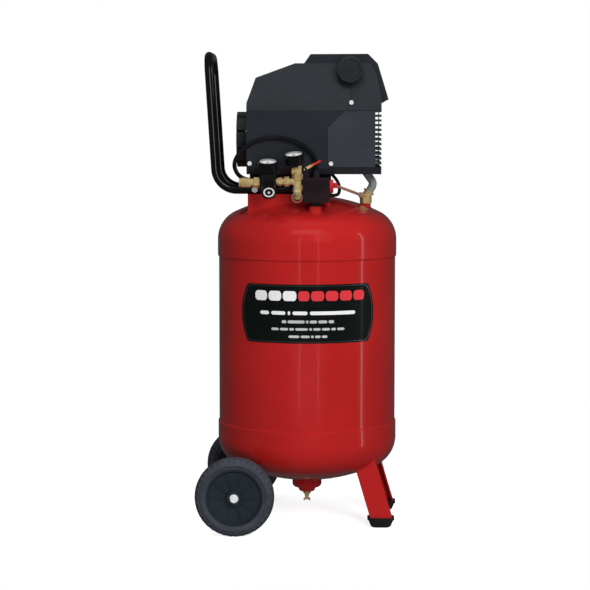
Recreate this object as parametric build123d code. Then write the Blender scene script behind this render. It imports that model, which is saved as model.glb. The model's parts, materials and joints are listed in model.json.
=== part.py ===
"""Upright tank air compressor with an oil-free direct-drive pump, two wheels and two feet.

Lengths are millimetres and +Z is up. Shapes are drawn with the tank's axis on X = Y = 0 and the
floor on Z = 0; SHIFT_X then moves everything so that the origin is the centre of the footprint box.
The motor shaft lies along X, the wheels turn about Y, and -Y is the label side.
"""

import math
import os

from build123d import *

# ---- tank ----
SHELL_R = 203.2
WALL = 2.5
HEAD_R = SHELL_R + WALL
CROWN_R = 390.0
KNUCKLE_R = 70.0
SKIRT = 36.0
LAP = 25.0
TANK_BOTTOM_Z = 94.0
TANK_TOP_Z = 752.0
HEAD_RISE = CROWN_R - math.sqrt((CROWN_R - KNUCKLE_R) ** 2 - (HEAD_R - KNUCKLE_R) ** 2)
LOW_BASE_Z = TANK_BOTTOM_Z + HEAD_RISE
HIGH_BASE_Z = TANK_TOP_Z - HEAD_RISE
BEAD = 3.0
LABEL_Z = 496.5
LABEL_H = 131.0
LABEL_HALF_W = 147.3
LABEL_CORNER_W = 134.0
LABEL_TURN = 1.46
LABEL_T = 0.4

# ---- running gear ----
WHEEL_R = 88.9
WHEEL_W = 44.0
RIM_R = 64.0
AXLE_X = -158.0
AXLE_R = 6.0
WHEEL_Y = 214.0
BRACKET_Y = 120.0
LEG_Y = 105.0
LEG_W = 50.3
LEG_DEPTH = 30.0
LEG_SLOPE = 0.30
REAR_LEG_SHIFT = (8.0, -10.0, 0.0)
PLATE = 3.0
FOOT_X = 170.0
FOOT_H = 23.0

# ---- saddle, pump base and handle ----
SADDLE_TOP_Z = 758.0
SADDLE_X0, SADDLE_X1 = -132.0, 54.0
SADDLE_Y = 105.5
HANDLE_R = 10.0
HANDLE_Y = 92.0
HANDLE_TOP = (-221.0, 1068.0)
HANDLE_FOOT_X = -202.3
HANDLE_END_X = -14.0
HANDLE_Z = SADDLE_TOP_Z + HANDLE_R
HANDLE_BOLT_XS = (-116.0, -24.0)
BASE_Z = 780.0
BASE_T = 4.0
BASE_X0, BASE_X1 = -132.0, 58.0
MOUNT_XS = (-75.0, 38.0)
MOUNT_Y = 48.0

# ---- motor and pump ----
SHAFT_Z = 880.0
SHAFT_R = 8.0
RUNNING = 0.05
MOTOR_R = 63.0
BELL_X0, BELL_X1 = -160.0, -128.0
CASE_X0, CASE_X1 = -10.0, 118.0
CYL_X = 75.0
THROW = 8.0
STROKE = 2 * THROW
CRANK_Z = SHAFT_Z - THROW
BORE_R = 31.75
CASE_TOP_Z = 925.0
CYL_TOP_Z = 990.0
VALVE_PLATE_T = 5.0
HEAD_HALF = 46.0
HEAD_TOP_Z = 1048.0
SMALL_END_Z = 936.0
FAN_X0, FAN_X1 = 126.0, 146.0
FAN_R = 57.0
INTAKE_X, INTAKE_Z = 98.0, 1036.0

# ---- shroud ----
SHROUD_Y = 125.0
SHROUD_T = 3.0
SHROUD_BOTTOM_Z = 803.0
CREASE_Z = 946.0
BROW_Z = 1051.0
BROW_Y = 88.0
SLOT_COUNT = 12
SLOT_PITCH = 10.6
SLOT_H = 5.6
SLOT_TOP_Z = 939.0
SCREW_SPOTS = ((-127.0, 827.0), (55.3, 827.0), (100.5, 963.0))

# ---- controls ----
RAIL_Y = -165.0
MANIFOLD_X = -18.5
MANIFOLD_R = 9.5
BRANCH_Z = 788.0
REG_X = -84.0
REG_HALF = 18.5
COUPLER_Z = 786.0
COUPLER_BORE_R = 5.6
GAUGE_R = 21.0
GAUGE_H = 22.5
TANK_GAUGE_AXIS = Vector(-0.09, -0.28, 0.956).normalized()
TANK_GAUGE_X = MANIFOLD_X - 5.5
TANK_GAUGE_Z = 819.0
LINE_GAUGE_Z = 808.5
LINE_GAUGE_AXIS = Vector(0.0, -0.29, 0.957).normalized()
KNOB_AXIS = Vector(0.07, -0.864, -0.5).normalized()
SWITCH_X0, SWITCH_X1 = -7.0, 53.0
SWITCH_Y0, SWITCH_Y1 = -185.0, -115.0
SWITCH_Z0, SWITCH_SPLIT_Z, SWITCH_Z1 = 742.0, 763.0, 797.0
SWITCH_PORT = (20.0, -150.0)
VALVE_X = 135.0
VALVE_Z = 748.0
RELIEF_Z = 766.0
LEVER_PIVOT = (-3.5, -160.0, 815.0)

# ---- leads: points of each route, then the lead's radius ----
LEAD_R = 4.75
GLAND_H = 15.0
MOTOR_LEAD = [
    (22.0, -134.0, SWITCH_Z1 + GLAND_H),
    (22.0, -134.0, 836.0),
    (4.0, -134.5, 860.0),
    (-27.0, -134.5, 878.0),
    (-70.0, -134.0, 887.0),
    (-112.0, -134.5, 879.0),
    (-144.0, -135.5, 859.0),
    (-163.0, -137.0, 829.0),
    (-154.0, -133.0, 801.0),
    (-130.0, -117.0, 789.0),
    (-108.0, -92.0, 795.0),
    (-100.0, -70.0, 813.0),
    (-100.0, -55.8, 824.2),
]
PUMP_LEAD_R = 3.75
PUMP_LEAD = [
    (SWITCH_X1 + 4.0, -138.0, 756.5),
    (65.0, -138.0, 756.5),
    (71.5, -133.0, 759.0),
    (74.0, -122.0, 763.5),
    (74.5, -112.0, 771.5),
    (72.5, -106.5, 782.5),
    (66.5, -104.0, 792.0),
    (60.0, -100.0, 799.5),
    (55.0, -89.0, 806.5),
    (52.0, -76.0, 813.5),
]

SHIFT_X = (WHEEL_R - AXLE_X - HEAD_R) / 2


# ---- helpers ----
def rod(start, end, radius, hole=0.0):
    """A round bar between two points, with an optional hole along it."""
    a, b = Vector(*start), Vector(*end)
    plane = Plane(origin=a, z_dir=b - a)
    bar = Cylinder(radius, (b - a).length, align=(Align.CENTER, Align.CENTER, Align.MIN))
    if hole:
        bar -= Cylinder(hole, (b - a).length, align=(Align.CENTER, Align.CENTER, Align.MIN))
    return plane * bar


def hexagon(start, end, across_flats, hole=0.0):
    """A hexagonal bar between two points."""
    a, b = Vector(*start), Vector(*end)
    plane = Plane(origin=a, z_dir=b - a)
    face = RegularPolygon(across_flats / math.sqrt(3), 6)
    if hole:
        face -= Circle(hole)
    return plane * extrude(face, (b - a).length)


def block(x0, x1, y0, y1, z0, z1):
    """A box from its limits."""
    return Pos((x0 + x1) / 2, (y0 + y1) / 2, (z0 + z1) / 2) * Box(x1 - x0, y1 - y0, z1 - z0)


def slab(points, y0, y1):
    """A prism whose outline is (x, z) points and which runs from y0 to y1."""
    face = make_face(Polyline(*points, close=True))
    return Pos(0, y1, 0) * extrude(Plane.XZ * face, y1 - y0)


def along(origin, direction, distance):
    """The point at a distance from an origin along a direction."""
    return tuple(Vector(*origin) + Vector(*direction) * distance)


def turned(shape):
    """The same shape on the other side of the plane Y = 0."""
    return mirror(shape, about=Plane.XZ)


def both_sides(shape):
    """A shape and its mirror image, kept as separate solids."""
    return list(shape.solids()) + list(turned(shape).solids())


def tube_radii(points, limit=None):
    """Bend radii for a free tube: 0.45 of the shorter run over the tangent of half the turn."""
    radii = []
    for before, here, after in zip(points, points[1:], points[2:]):
        run_in = Vector(*here) - Vector(*before)
        run_out = Vector(*after) - Vector(*here)
        half_turn = math.radians(run_in.get_angle(run_out)) / 2
        radius = 0.45 * min(run_in.length, run_out.length) / math.tan(half_turn)
        radii.append(min(radius, limit) if limit else radius)
    return radii


def tube(points, radius, hole=0.0, bend=None):
    """A round tube along straight runs joined by tangent arcs."""
    path = FilletPolyline(*points, radius=tube_radii(points, bend))
    start = Vector(*points[0])
    plane = Plane(origin=start, z_dir=Vector(*points[1]) - start)
    body = sweep(plane * Circle(radius), path=path)
    if hole:
        body -= sweep(plane * Circle(hole), path=path)
    return body


# ---- tank ----
def head_outline(inset):
    """Half outline of a dished head: knuckle and crown arcs, drawn as (radius, rise)."""
    knuckle_centre = (HEAD_R - KNUCKLE_R, 0.0)
    crown_centre = (0.0, HEAD_RISE - CROWN_R)
    reach = math.hypot(knuckle_centre[0], crown_centre[1])
    away = (knuckle_centre[0] / reach, -crown_centre[1] / reach)
    knuckle, crown = KNUCKLE_R - inset, CROWN_R - inset
    angle = math.atan2(away[1], away[0])
    start = (HEAD_R - inset, 0.0)
    middle = (
        knuckle_centre[0] + knuckle * math.cos(angle / 2),
        knuckle * math.sin(angle / 2),
    )
    join = (knuckle_centre[0] + knuckle * away[0], knuckle * away[1])
    top = (0.0, HEAD_RISE - inset)
    high_angle = (angle + math.pi / 2) / 2
    high = (crown * math.cos(high_angle), crown_centre[1] + crown * math.sin(high_angle))
    return start, middle, join, high, top


def dished_solid(inset, skirt):
    """A filled dished head with a straight skirt below its base plane."""
    start, middle, join, high, top = head_outline(inset)
    line = (
        Polyline((0, -skirt), (start[0], -skirt), start)
        + ThreePointArc(start, middle, join)
        + ThreePointArc(join, high, top)
        + Line(top, (0, -skirt))
    )
    return revolve(Plane.XZ * make_face(line), axis=Axis.Z)


def tank_head():
    """A head lapped over the shell, with the weld bead at its edge."""
    bead = Plane.XZ * make_face(
        Polyline(
            (SHELL_R, -SKIRT), (HEAD_R, -SKIRT), (HEAD_R - 0.6, -SKIRT - BEAD * 0.6),
            (SHELL_R, -SKIRT - BEAD), close=True,
        )
    )
    return dished_solid(0, SKIRT) - dished_solid(WALL, SKIRT) + revolve(bead, axis=Axis.Z)


def tank_envelope():
    """The tank's filled outer volume, for cutting the pieces that are welded to it."""
    middle = Pos(0, 0, (LOW_BASE_Z + HIGH_BASE_Z) / 2) * Cylinder(HEAD_R, HIGH_BASE_Z - LOW_BASE_Z)
    top = Pos(0, 0, HIGH_BASE_Z) * dished_solid(0, 1)
    bottom = Pos(0, 0, LOW_BASE_Z) * Rot(180, 0, 0) * dished_solid(0, 1)
    return middle + top + bottom


def tank_shell():
    bottom, top = LOW_BASE_Z + SKIRT - LAP, HIGH_BASE_Z - SKIRT + LAP
    tube_wall = Cylinder(SHELL_R, top - bottom) - Cylinder(SHELL_R - WALL, top - bottom)
    return Pos(0, 0, (bottom + top) / 2) * tube_wall


def top_head():
    ports = [rod((*SWITCH_PORT, 690), (*SWITCH_PORT, 760), 9.0)]
    ports.append(rod((VALVE_X, 0, 690), (VALVE_X, 0, 760), 9.0))
    head = Pos(0, 0, HIGH_BASE_Z) * tank_head()
    for port in ports:
        head -= port
    return head


def bottom_head():
    head = Pos(0, 0, LOW_BASE_Z) * Rot(180, 0, 0) * tank_head()
    return head - rod((0, 0, 80), (0, 0, 110), 9.0)


def tank_bungs(envelope):
    """Threaded bungs welded round the two ports in the top head."""
    pieces = []
    for (x, y), top, radius in ((SWITCH_PORT, 733.0, 15.0), ((VALVE_X, 0.0), 733.0, 11.5)):
        bung = rod((x, y, 700), (x, y, top), radius) - rod((x, y, 690), (x, y, top + 1), 9.0)
        pieces += (chamfer(bung.edges().filter_by(GeomType.CIRCLE).group_by(Axis.Z)[-1], 1.0) - envelope).solids()
    return pieces


def drain_boss(envelope):
    """The dished pad and threaded bung under the tank."""
    line = (
        Polyline((8, 104), (34, 104), (34, 82))
        + ThreePointArc((34, 82), (31, 75), (24, 72.5))
        + Polyline((24, 72.5), (20, 71), (18, 64), (14, 62), (8, 62), (8, 104))
    )
    return revolve(Plane.XZ * make_face(line), axis=Axis.Z) - envelope


def tank_label():
    """The name plate, a thin barrel-shaped sheet bent round the shell."""
    half_h = LABEL_H / 2
    top, bottom = LABEL_Z + half_h, LABEL_Z - half_h
    corner, side = LABEL_CORNER_W, LABEL_HALF_W
    line = (
        Line((-corner, top), (corner, top))
        + ThreePointArc((corner, top), (side, LABEL_Z), (corner, bottom))
        + Line((corner, bottom), (-corner, bottom))
        + ThreePointArc((-corner, bottom), (-side, LABEL_Z), (-corner, top))
    )
    outline = fillet(make_face(line).vertices(), 9.0)
    sheet = Cylinder(SHELL_R + LABEL_T, LABEL_H + 20) - Cylinder(SHELL_R, LABEL_H + 20)
    plate = (Pos(0, 0, LABEL_Z) * sheet) & extrude(Plane.XZ * outline, SHELL_R + 20)
    return Rot(0, 0, LABEL_TURN) * plate


# ---- running gear ----
def wheel_brackets(envelope):
    """A gusset on each side of the bottom head, with the tube that carries the axle bolt."""
    outline = [(-176, 80), (-162, 70), (-146, 70), (-98, 112), (-98, 131), (-140, 152), (-150, 160), (-168, 150), (-176, 110)]
    plate = slab(outline, -BRACKET_Y - 2.5, -BRACKET_Y + 2.5)
    lip = slab([(-148, 70), (-146, 70), (-98, 112), (-98, 118), (-147.5, 75)], -BRACKET_Y + 2.5, -BRACKET_Y + 24)
    inner_face = WHEEL_Y - WHEEL_W / 2
    spacer = rod((AXLE_X, -BRACKET_Y, WHEEL_R), (AXLE_X, 1 - inner_face, WHEEL_R), 12.0)
    bolt_way = rod((AXLE_X, -90, WHEEL_R), (AXLE_X, -200, WHEEL_R), AXLE_R)
    return both_sides(plate + lip + spacer - bolt_way - envelope)


def wheel_tyre(side):
    """A solid rubber tyre: raised sidewall ring, round shoulders and shoulder lugs."""
    half = WHEEL_W / 2
    line = (
        Polyline((RIM_R, -half + 4), (70.5, -half + 4), (72.0, -half + 0.5), (76.0, -half + 0.5),
                 (77.5, -half + 3), (80, -half + 3.5))
        + ThreePointArc((80, -half + 3.5), (86.6, -half + 6.5), (WHEEL_R, -half + 13))
        + Line((WHEEL_R, -half + 13), (WHEEL_R, half - 13))
        + ThreePointArc((WHEEL_R, half - 13), (86.6, half - 6.5), (80, half - 3.5))
        + Polyline((80, half - 3.5), (77.5, half - 3), (76.0, half - 0.5), (72.0, half - 0.5),
                   (70.5, half - 4), (RIM_R, half - 4), (RIM_R, -half + 4))
    )
    ring = revolve(make_face(line), axis=Axis.Y)
    groove = Pos(WHEEL_R, 0, 0) * Box(5, 10, 5)
    lug_count = 30
    for n in range(lug_count):
        for edge in (-1, 1):
            turn = (n + 0.25 * edge) * 360 / lug_count
            ring -= Rot(0, turn, 0) * Pos(0, edge * (half - 9), 0) * groove
    return Pos(AXLE_X, side * WHEEL_Y, WHEEL_R) * ring


def wheel_hub(side):
    """A moulded hub: rim, dished web, bore tube and radial ribs on the outer face."""
    half = WHEEL_W / 2
    out = side
    bore = AXLE_R + RUNNING
    profile = Polyline(
        (bore, -half), (16, -half), (16, -5), (58, -4), (60, -half + 5), (RIM_R, -half + 5),
        (RIM_R, half - 5), (60, half - 5), (57, half - 10), (18, half - 12), (16, half), (bore, half),
        close=True,
    )
    hub = revolve(make_face(profile), axis=Axis.Y)
    rib = block(17, 58, half - 13, half - 7.5, -1.6, 1.6)
    for n in range(10):
        hub += Rot(0, n * 36, 0) * rib
    if out < 0:
        hub = turned(hub)
    return Pos(AXLE_X, side * WHEEL_Y, WHEEL_R) * hub


def axle_bolts():
    """Hexagon-headed shoulder bolts with a washer outside the wheel and a nut behind the gusset."""
    outer = WHEEL_Y + WHEEL_W / 2
    bolt = rod((AXLE_X, -BRACKET_Y + 14, WHEEL_R), (AXLE_X, -outer - 2, WHEEL_R), AXLE_R)
    bolt += rod((AXLE_X, -outer - 0.2, WHEEL_R), (AXLE_X, -outer - 2, WHEEL_R), 9.6)
    head = hexagon((AXLE_X, -outer - 2, WHEEL_R), (AXLE_X, -outer - 9, WHEEL_R), 15.5)
    bolt += chamfer(head.edges().group_by(Axis.Y)[0], 1.0)
    nut = hexagon((AXLE_X, -BRACKET_Y + 2.5, WHEEL_R), (AXLE_X, -BRACKET_Y + 12, WHEEL_R), 18.0, AXLE_R)
    return both_sides(bolt) + both_sides(nut)


def leg_left(z):
    """X of the leg's inner edge at a height."""
    return 144.6 + (26.0 - z) * LEG_SLOPE


def legs(envelope):
    """Two folded channels welded to the bottom head; the rear one stands a little further out and nearer."""
    low, high = 19.0, 195.0
    web_y = LEG_Y + LEG_DEPTH / 2

    def strip(x0, x1, y0, y1):
        corners = [(leg_left(low) + x0, low), (leg_left(low) + x1, low),
                   (leg_left(high) + x1, high), (leg_left(high) + x0, high)]
        return slab(corners, y0, y1)

    leg = strip(0, LEG_W, -web_y, -web_y + PLATE)
    leg += strip(0, PLATE, -web_y, -web_y + LEG_DEPTH)
    leg += strip(LEG_W - PLATE, LEG_W, -web_y, -web_y + LEG_DEPTH)
    rear = Pos(*REAR_LEG_SHIFT) * turned(leg)
    return list((leg - envelope).solids()) + list((rear - envelope).solids())


def foot_caps(leg_solids):
    """Moulded rubber caps, wider at the mouth than at the ground."""
    x, y, lip_z = FOOT_X, -LEG_Y, FOOT_H - 5
    sections = [
        Plane.XY.offset(z) * (Pos(x, y) * RectangleRounded(length, width, corner))
        for z, length, width, corner in ((0.0, 37, 24, 8), (3.0, 45, 31, 8), (lip_z, 57, 38, 6))
    ]
    lip = Plane.XY.offset(lip_z) * (Pos(x, y) * RectangleRounded(61, 41, 6))
    cap = loft(Sketch() + sections, ruled=True) + extrude(lip, 5)
    for leg in leg_solids:
        cap -= leg
    solid = max(cap.solids(), key=lambda s: s.volume)
    return [solid, (Pos(*REAR_LEG_SHIFT) * turned(solid)).solid()]


# ---- saddle, base and handle ----
def pump_saddle(envelope):
    """The folded deck on top of the tank, with an ear inside the handle at each bolt."""
    deck = block(SADDLE_X0, SADDLE_X1, -SADDLE_Y, SADDLE_Y, SADDLE_TOP_Z - PLATE, SADDLE_TOP_Z)
    skirt = block(SADDLE_X0, SADDLE_X1, -SADDLE_Y, PLATE - SADDLE_Y, 700, SADDLE_TOP_Z)
    saddle = deck + skirt + turned(skirt)
    inner = HANDLE_R - HANDLE_Y
    for x in HANDLE_BOLT_XS:
        ear = slab([(x - 15, SADDLE_TOP_Z - 1), (x + 15, SADDLE_TOP_Z - 1), (x + 15, 773), (x + 8, 779), (x - 8, 779), (x - 15, 773)],
                   inner, inner + PLATE)
        ear -= rod((x, -110, HANDLE_Z), (x, -60, HANDLE_Z), 4.0)
        saddle += ear + turned(ear)
    for x in MOUNT_XS:
        for y in (-MOUNT_Y, MOUNT_Y):
            saddle -= rod((x, y, 740), (x, y, 770), 4.0)
    return saddle - envelope


def handle_tube():
    """The bent push handle, one tube with two feet on the saddle."""
    top_x, top_z = HANDLE_TOP
    points = [
        (HANDLE_END_X, -HANDLE_Y, HANDLE_Z), (HANDLE_FOOT_X, -HANDLE_Y, HANDLE_Z),
        (top_x, -HANDLE_Y, top_z), (top_x, HANDLE_Y, top_z),
        (HANDLE_FOOT_X, HANDLE_Y, HANDLE_Z), (HANDLE_END_X, HANDLE_Y, HANDLE_Z),
    ]
    path = FilletPolyline(*points, radius=[48, 42, 42, 48])
    plane = Plane(origin=points[0], z_dir=(-1, 0, 0))
    bar = sweep(plane * Circle(HANDLE_R), path=path) - sweep(plane * Circle(HANDLE_R - 1.6), path=path)
    for x in HANDLE_BOLT_XS:
        bar -= rod((x, -120, HANDLE_Z), (x, 120, HANDLE_Z), 4.0)
    return bar


def frame_bolts():
    """Handle bolts with their nuts, and the bolts through the rubber mounts."""
    outer, inner = -HANDLE_Y - HANDLE_R, -HANDLE_Y + HANDLE_R + PLATE
    pieces = []
    for x in HANDLE_BOLT_XS:
        bolt = hexagon((x, outer - 5, HANDLE_Z), (x, outer, HANDLE_Z), 13.0)
        bolt = chamfer(bolt.edges().group_by(Axis.Y)[0], 0.8)
        bolt += rod((x, outer, HANDLE_Z), (x, inner + 7, HANDLE_Z), 4.0)
        nut = hexagon((x, inner, HANDLE_Z), (x, inner + 6, HANDLE_Z), 13.0, 4.0)
        pieces += both_sides(bolt) + both_sides(nut)
    deck_z, base_top = SADDLE_TOP_Z, BASE_Z + BASE_T
    for x in MOUNT_XS:
        for y in (-MOUNT_Y, MOUNT_Y):
            stud = rod((x, y, deck_z - PLATE), (x, y, base_top), 4.0)
            stud += hexagon((x, y, base_top), (x, y, base_top + 6), 13.0)
            pieces += stud.solids()
    return pieces


def rubber_mounts():
    """Waisted rubber blocks between the saddle and the pump base."""
    height = BASE_Z - SADDLE_TOP_Z
    line = (
        Polyline((4, 0), (15, 0), (15, 4))
        + ThreePointArc((15, 4), (12, height / 2), (15, height - 4))
        + Polyline((15, height - 4), (15, height), (4, height), (4, 0))
    )
    block_shape = revolve(Plane.XZ * make_face(line), axis=Axis.Z)
    return [
        (Pos(x, y, SADDLE_TOP_Z) * block_shape).solid()
        for x in MOUNT_XS for y in (-MOUNT_Y, MOUNT_Y)
    ]


def pump_base():
    """The steel plate that carries the motor and the crankcase, with a flange along each side."""
    plate = block(BASE_X0, BASE_X1, -69, 69, BASE_Z, BASE_Z + BASE_T)
    plate = fillet(plate.edges().filter_by(Axis.Z), 3)
    for y in (-69, 66):
        plate += block(BASE_X0 + 3, BASE_X1 - 3, y, y + 3, SADDLE_TOP_Z + 4, SHROUD_BOTTOM_Z - 1)
    for x in MOUNT_XS:
        for y in (-MOUNT_Y, MOUNT_Y):
            plate -= rod((x, y, 770), (x, y, 790), 4.0)
    return plate


# ---- motor ----
def axial(x0, x1, radius, hole=0.0):
    """A ring or disc on the shaft's axis."""
    return rod((x0, 0, SHAFT_Z), (x1, 0, SHAFT_Z), radius, hole)


def motor_end_bell():
    """The vented cover at the motor's free end, with the seat of one bearing."""
    bell = axial(BELL_X0, BELL_X1, MOTOR_R) - axial(BELL_X0 + 5, BELL_X1, MOTOR_R - 5)
    bell += axial(BELL_X0 + 5, BELL_X0 + 19, 22)
    bell -= axial(BELL_X0 + 7, BELL_X1, 17.5)
    for n in range(10):
        window = Pos(BELL_X0, 0, SHAFT_Z) * Rot(n * 36, 0, 0) * Pos(12, 0, MOTOR_R) * Box(26, 5, 20)
        grille = Pos(BELL_X0, 0, SHAFT_Z) * Rot(n * 36 + 18, 0, 0) * Pos(0, 0, 40) * Box(12, 8, 22)
        bell -= window + grille
    return bell


def motor_housing():
    """The rolled steel can round the stator, with its two feet."""
    can = axial(BELL_X1, CASE_X0, MOTOR_R, MOTOR_R - 3)
    feet = block(-92, -50, -38, 38, BASE_Z + BASE_T, SHAFT_Z - 40)
    feet -= block(-86, -56, -32, 32, BASE_Z, SHAFT_Z)
    feet -= axial(-120, 0, MOTOR_R - 3)
    return can + feet


def motor_stator():
    core = axial(-110, -40, MOTOR_R - 3, 33)
    for n in range(24):
        core -= Pos(-75, 0, SHAFT_Z) * Rot(n * 15, 0, 0) * Pos(0, 0, 42) * Box(72, 5, 14)
    return core


def motor_rotor():
    core = axial(-110, -40, 32.4, SHAFT_R)
    return core + axial(-116, -110, 31, SHAFT_R) + axial(-40, -34, 31, SHAFT_R)


def motor_shaft():
    """The shaft with the eccentric and its counterweight."""
    shaft = axial(-152, 150, SHAFT_R)
    eccentric = rod((CYL_X - 13, 0, CRANK_Z), (CYL_X + 13, 0, CRANK_Z), 20.0)
    weight = rod((CYL_X + 13.5, 0, SHAFT_Z), (CYL_X + 25, 0, SHAFT_Z), 36.0)
    weight -= block(CYL_X, CYL_X + 40, -50, 50, SHAFT_Z - 60, SHAFT_Z - 10)
    collar = axial(CYL_X + 13, CYL_X + 13.5, 14)
    return shaft + eccentric + weight + collar


def bearings():
    """The two ball bearings: races, and balls shown as one ring between them."""
    pieces = []
    for x0 in (BELL_X0 + 7, CASE_X0 + 1):
        bore = SHAFT_R + RUNNING
        pieces += axial(x0, x0 + 12, 17.5, 14.0).solids()
        pieces += axial(x0, x0 + 12, 11.0, bore).solids()
        pieces += axial(x0 + 3, x0 + 9, 14.0, 11.0).solids()
    return pieces


def cooling_fan():
    """A seven-bladed fan keyed on the end of the shaft."""
    middle = (FAN_X0 + FAN_X1) / 2
    fan = axial(FAN_X0, FAN_X1, 15, SHAFT_R)
    blade = Pos(0, 0, 34) * Rot(0, 0, 32) * Box(20, 2.4, 44)
    for n in range(7):
        fan += Pos(middle, 0, SHAFT_Z) * Rot(n * 360 / 7, 0, 0) * blade
    return fan & axial(FAN_X0, FAN_X1, FAN_R, SHAFT_R)


# ---- pump ----
def crankcase():
    """The cast case round the eccentric, with the seat of the second bearing."""
    case = block(CASE_X0, CASE_X1, -62, 62, 822, CASE_TOP_Z)
    case = fillet(case.edges().filter_by(Axis.X), 12)
    case += axial(CASE_X0, CASE_X0 + 8, MOTOR_R)
    case -= block(CASE_X0 + 14, CASE_X1 - 8, -54, 54, 830, CASE_TOP_Z - 7)
    case -= rod((CYL_X, 0, 900), (CYL_X, 0, 930), BORE_R + 1.5)
    case -= axial(CASE_X1 - 10, CASE_X1 + 1, 40)
    case -= axial(CASE_X0 - 1, CASE_X0 + 20, 12)
    case -= axial(CASE_X0 + 1, CASE_X0 + 13, 17.5)
    for y in (-38, 28):
        case += block(0, 55, y, y + 10, BASE_Z + BASE_T, 824)
    return case


def cylinder():
    """The bore sleeve with cooling fins and square end flanges."""
    sleeve = rod((CYL_X, 0, CASE_TOP_Z), (CYL_X, 0, CYL_TOP_Z), 37.0)
    for n in range(6):
        z = CASE_TOP_Z + 12 + n * 8
        sleeve += rod((CYL_X, 0, z), (CYL_X, 0, z + 2.5), 49.0)
    for z in (CASE_TOP_Z, CYL_TOP_Z - 6):
        flange = block(CYL_X - 42, CYL_X + 42, -42, 42, z, z + 6)
        sleeve += fillet(flange.edges().filter_by(Axis.Z), 10)
    return sleeve - rod((CYL_X, 0, 900), (CYL_X, 0, 1000), BORE_R)


def bolt_spots():
    return [(CYL_X + dx, dy) for dx in (-35, 35) for dy in (-35, 35)]


def valve_plate():
    """The plate between cylinder and head, with its ports and the two reed valves."""
    plate = block(CYL_X - HEAD_HALF, CYL_X + HEAD_HALF, -HEAD_HALF, HEAD_HALF, CYL_TOP_Z, CYL_TOP_Z + VALVE_PLATE_T)
    for dy in (-15, 15):
        plate -= rod((CYL_X, dy, 980), (CYL_X, dy, 1000), 5.0)
    for x, y in bolt_spots():
        plate -= rod((x, y, 980), (x, y, 1000), 3.0)
    top = CYL_TOP_Z + VALVE_PLATE_T
    exhaust = block(CYL_X - 22, CYL_X + 12, 8, 22, top, top + 0.5)
    intake = block(CYL_X - 22, CYL_X + 12, -22, -8, CYL_TOP_Z - 0.5, CYL_TOP_Z)
    return plate.solids() + exhaust.solids() + intake.solids()


def cylinder_head():
    """The finned head: an intake chamber fed by a spigot, and an exhaust chamber with its port."""
    bottom = CYL_TOP_Z + VALVE_PLATE_T
    head = block(CYL_X - HEAD_HALF, CYL_X + HEAD_HALF, -HEAD_HALF, HEAD_HALF, bottom, HEAD_TOP_Z)
    head = fillet(head.edges().filter_by(Axis.Z), 8)
    head -= block(CYL_X - 28, CYL_X + 32, -38, -3, bottom, HEAD_TOP_Z - 8)
    head -= block(CYL_X - 28, CYL_X + 28, 3, 38, bottom, HEAD_TOP_Z - 22)
    for n in range(7):
        x = CYL_X - 36 + n * 12
        head -= block(x - 3, x + 3, 4, HEAD_HALF + 1, HEAD_TOP_Z - 16, HEAD_TOP_Z + 1)
    head += rod((INTAKE_X, -HEAD_HALF + 2, INTAKE_Z - 8), (INTAKE_X, -97, INTAKE_Z - 8), 9.0)
    head -= rod((INTAKE_X, -30, INTAKE_Z - 8), (INTAKE_X, -98, INTAKE_Z - 8), 6.5)
    head -= rod((CYL_X + 20, 26, 1010), (CYL_X + HEAD_HALF + 1, 26, 1010), 6.0)
    for x, y in bolt_spots():
        head -= rod((x, y, 980), (x, y, HEAD_TOP_Z + 1), 3.0)
        head += rod((x, y, bottom), (x, y, HEAD_TOP_Z), 6.0) - rod((x, y, bottom), (x, y, HEAD_TOP_Z), 3.0)
    return head


def head_bolts():
    pieces = []
    for x, y in bolt_spots():
        bolt = rod((x, y, CYL_TOP_Z), (x, y, HEAD_TOP_Z), 3.0)
        bolt += hexagon((x, y, HEAD_TOP_Z), (x, y, HEAD_TOP_Z + 5), 10.0)
        pieces += bolt.solids()
    return pieces


def connecting_rod():
    """The rod with its big-end ring on the eccentric and the wrist pin in its eye."""
    low, high = CRANK_Z, SMALL_END_Z
    ring = rod((CYL_X - 11, 0, low), (CYL_X + 11, 0, low), 28.0)
    eye = rod((CYL_X - 8, 0, high), (CYL_X + 8, 0, high), 9.0)
    beam = slab([(CYL_X - 5, low + 24), (CYL_X + 5, low + 24), (CYL_X + 5, high - 5), (CYL_X - 5, high - 5)], -7, 7)
    body = ring + eye + beam
    body -= rod((CYL_X - 12, 0, low), (CYL_X + 12, 0, low), 20.0 + RUNNING)
    body -= rod((CYL_X - 12, 0, high), (CYL_X + 12, 0, high), 5.0)
    wrist_pin = rod((CYL_X - 15, 0, high), (CYL_X + 15, 0, high), 5.0)
    return body.solids() + wrist_pin.solids()


def piston():
    """The piston at the bottom of its stroke, hollow below its crown, with its sealing ring."""
    top = CYL_TOP_Z - 5 - STROKE
    body = rod((CYL_X, 0, top - 36), (CYL_X, 0, top), BORE_R - 0.25)
    body -= rod((CYL_X, 0, top - 37), (CYL_X, 0, top - 6), 27.0)
    groove = rod((CYL_X, 0, top - 5), (CYL_X, 0, top - 2), BORE_R + 1, 28.5)
    ring = rod((CYL_X, 0, top - 5), (CYL_X, 0, top - 2), BORE_R - RUNNING, 28.5)
    return (body - groove).solids() + ring.solids()


# ---- shroud ----
def shroud_outline(inset):
    """Front view of the cover's main body as (x, z) points, shrunk by an inset."""
    corners = [(-134, 700), (-134, 962), (-114, 1018.5), (-26, BROW_Z), (143.5, BROW_Z), (156.5, 1028),
               (165, 987), (168, 961), (168, 700)]
    face = make_face(Polyline(*corners, close=True))
    return offset(face, -inset, kind=Kind.INTERSECTION) if inset else face


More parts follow.
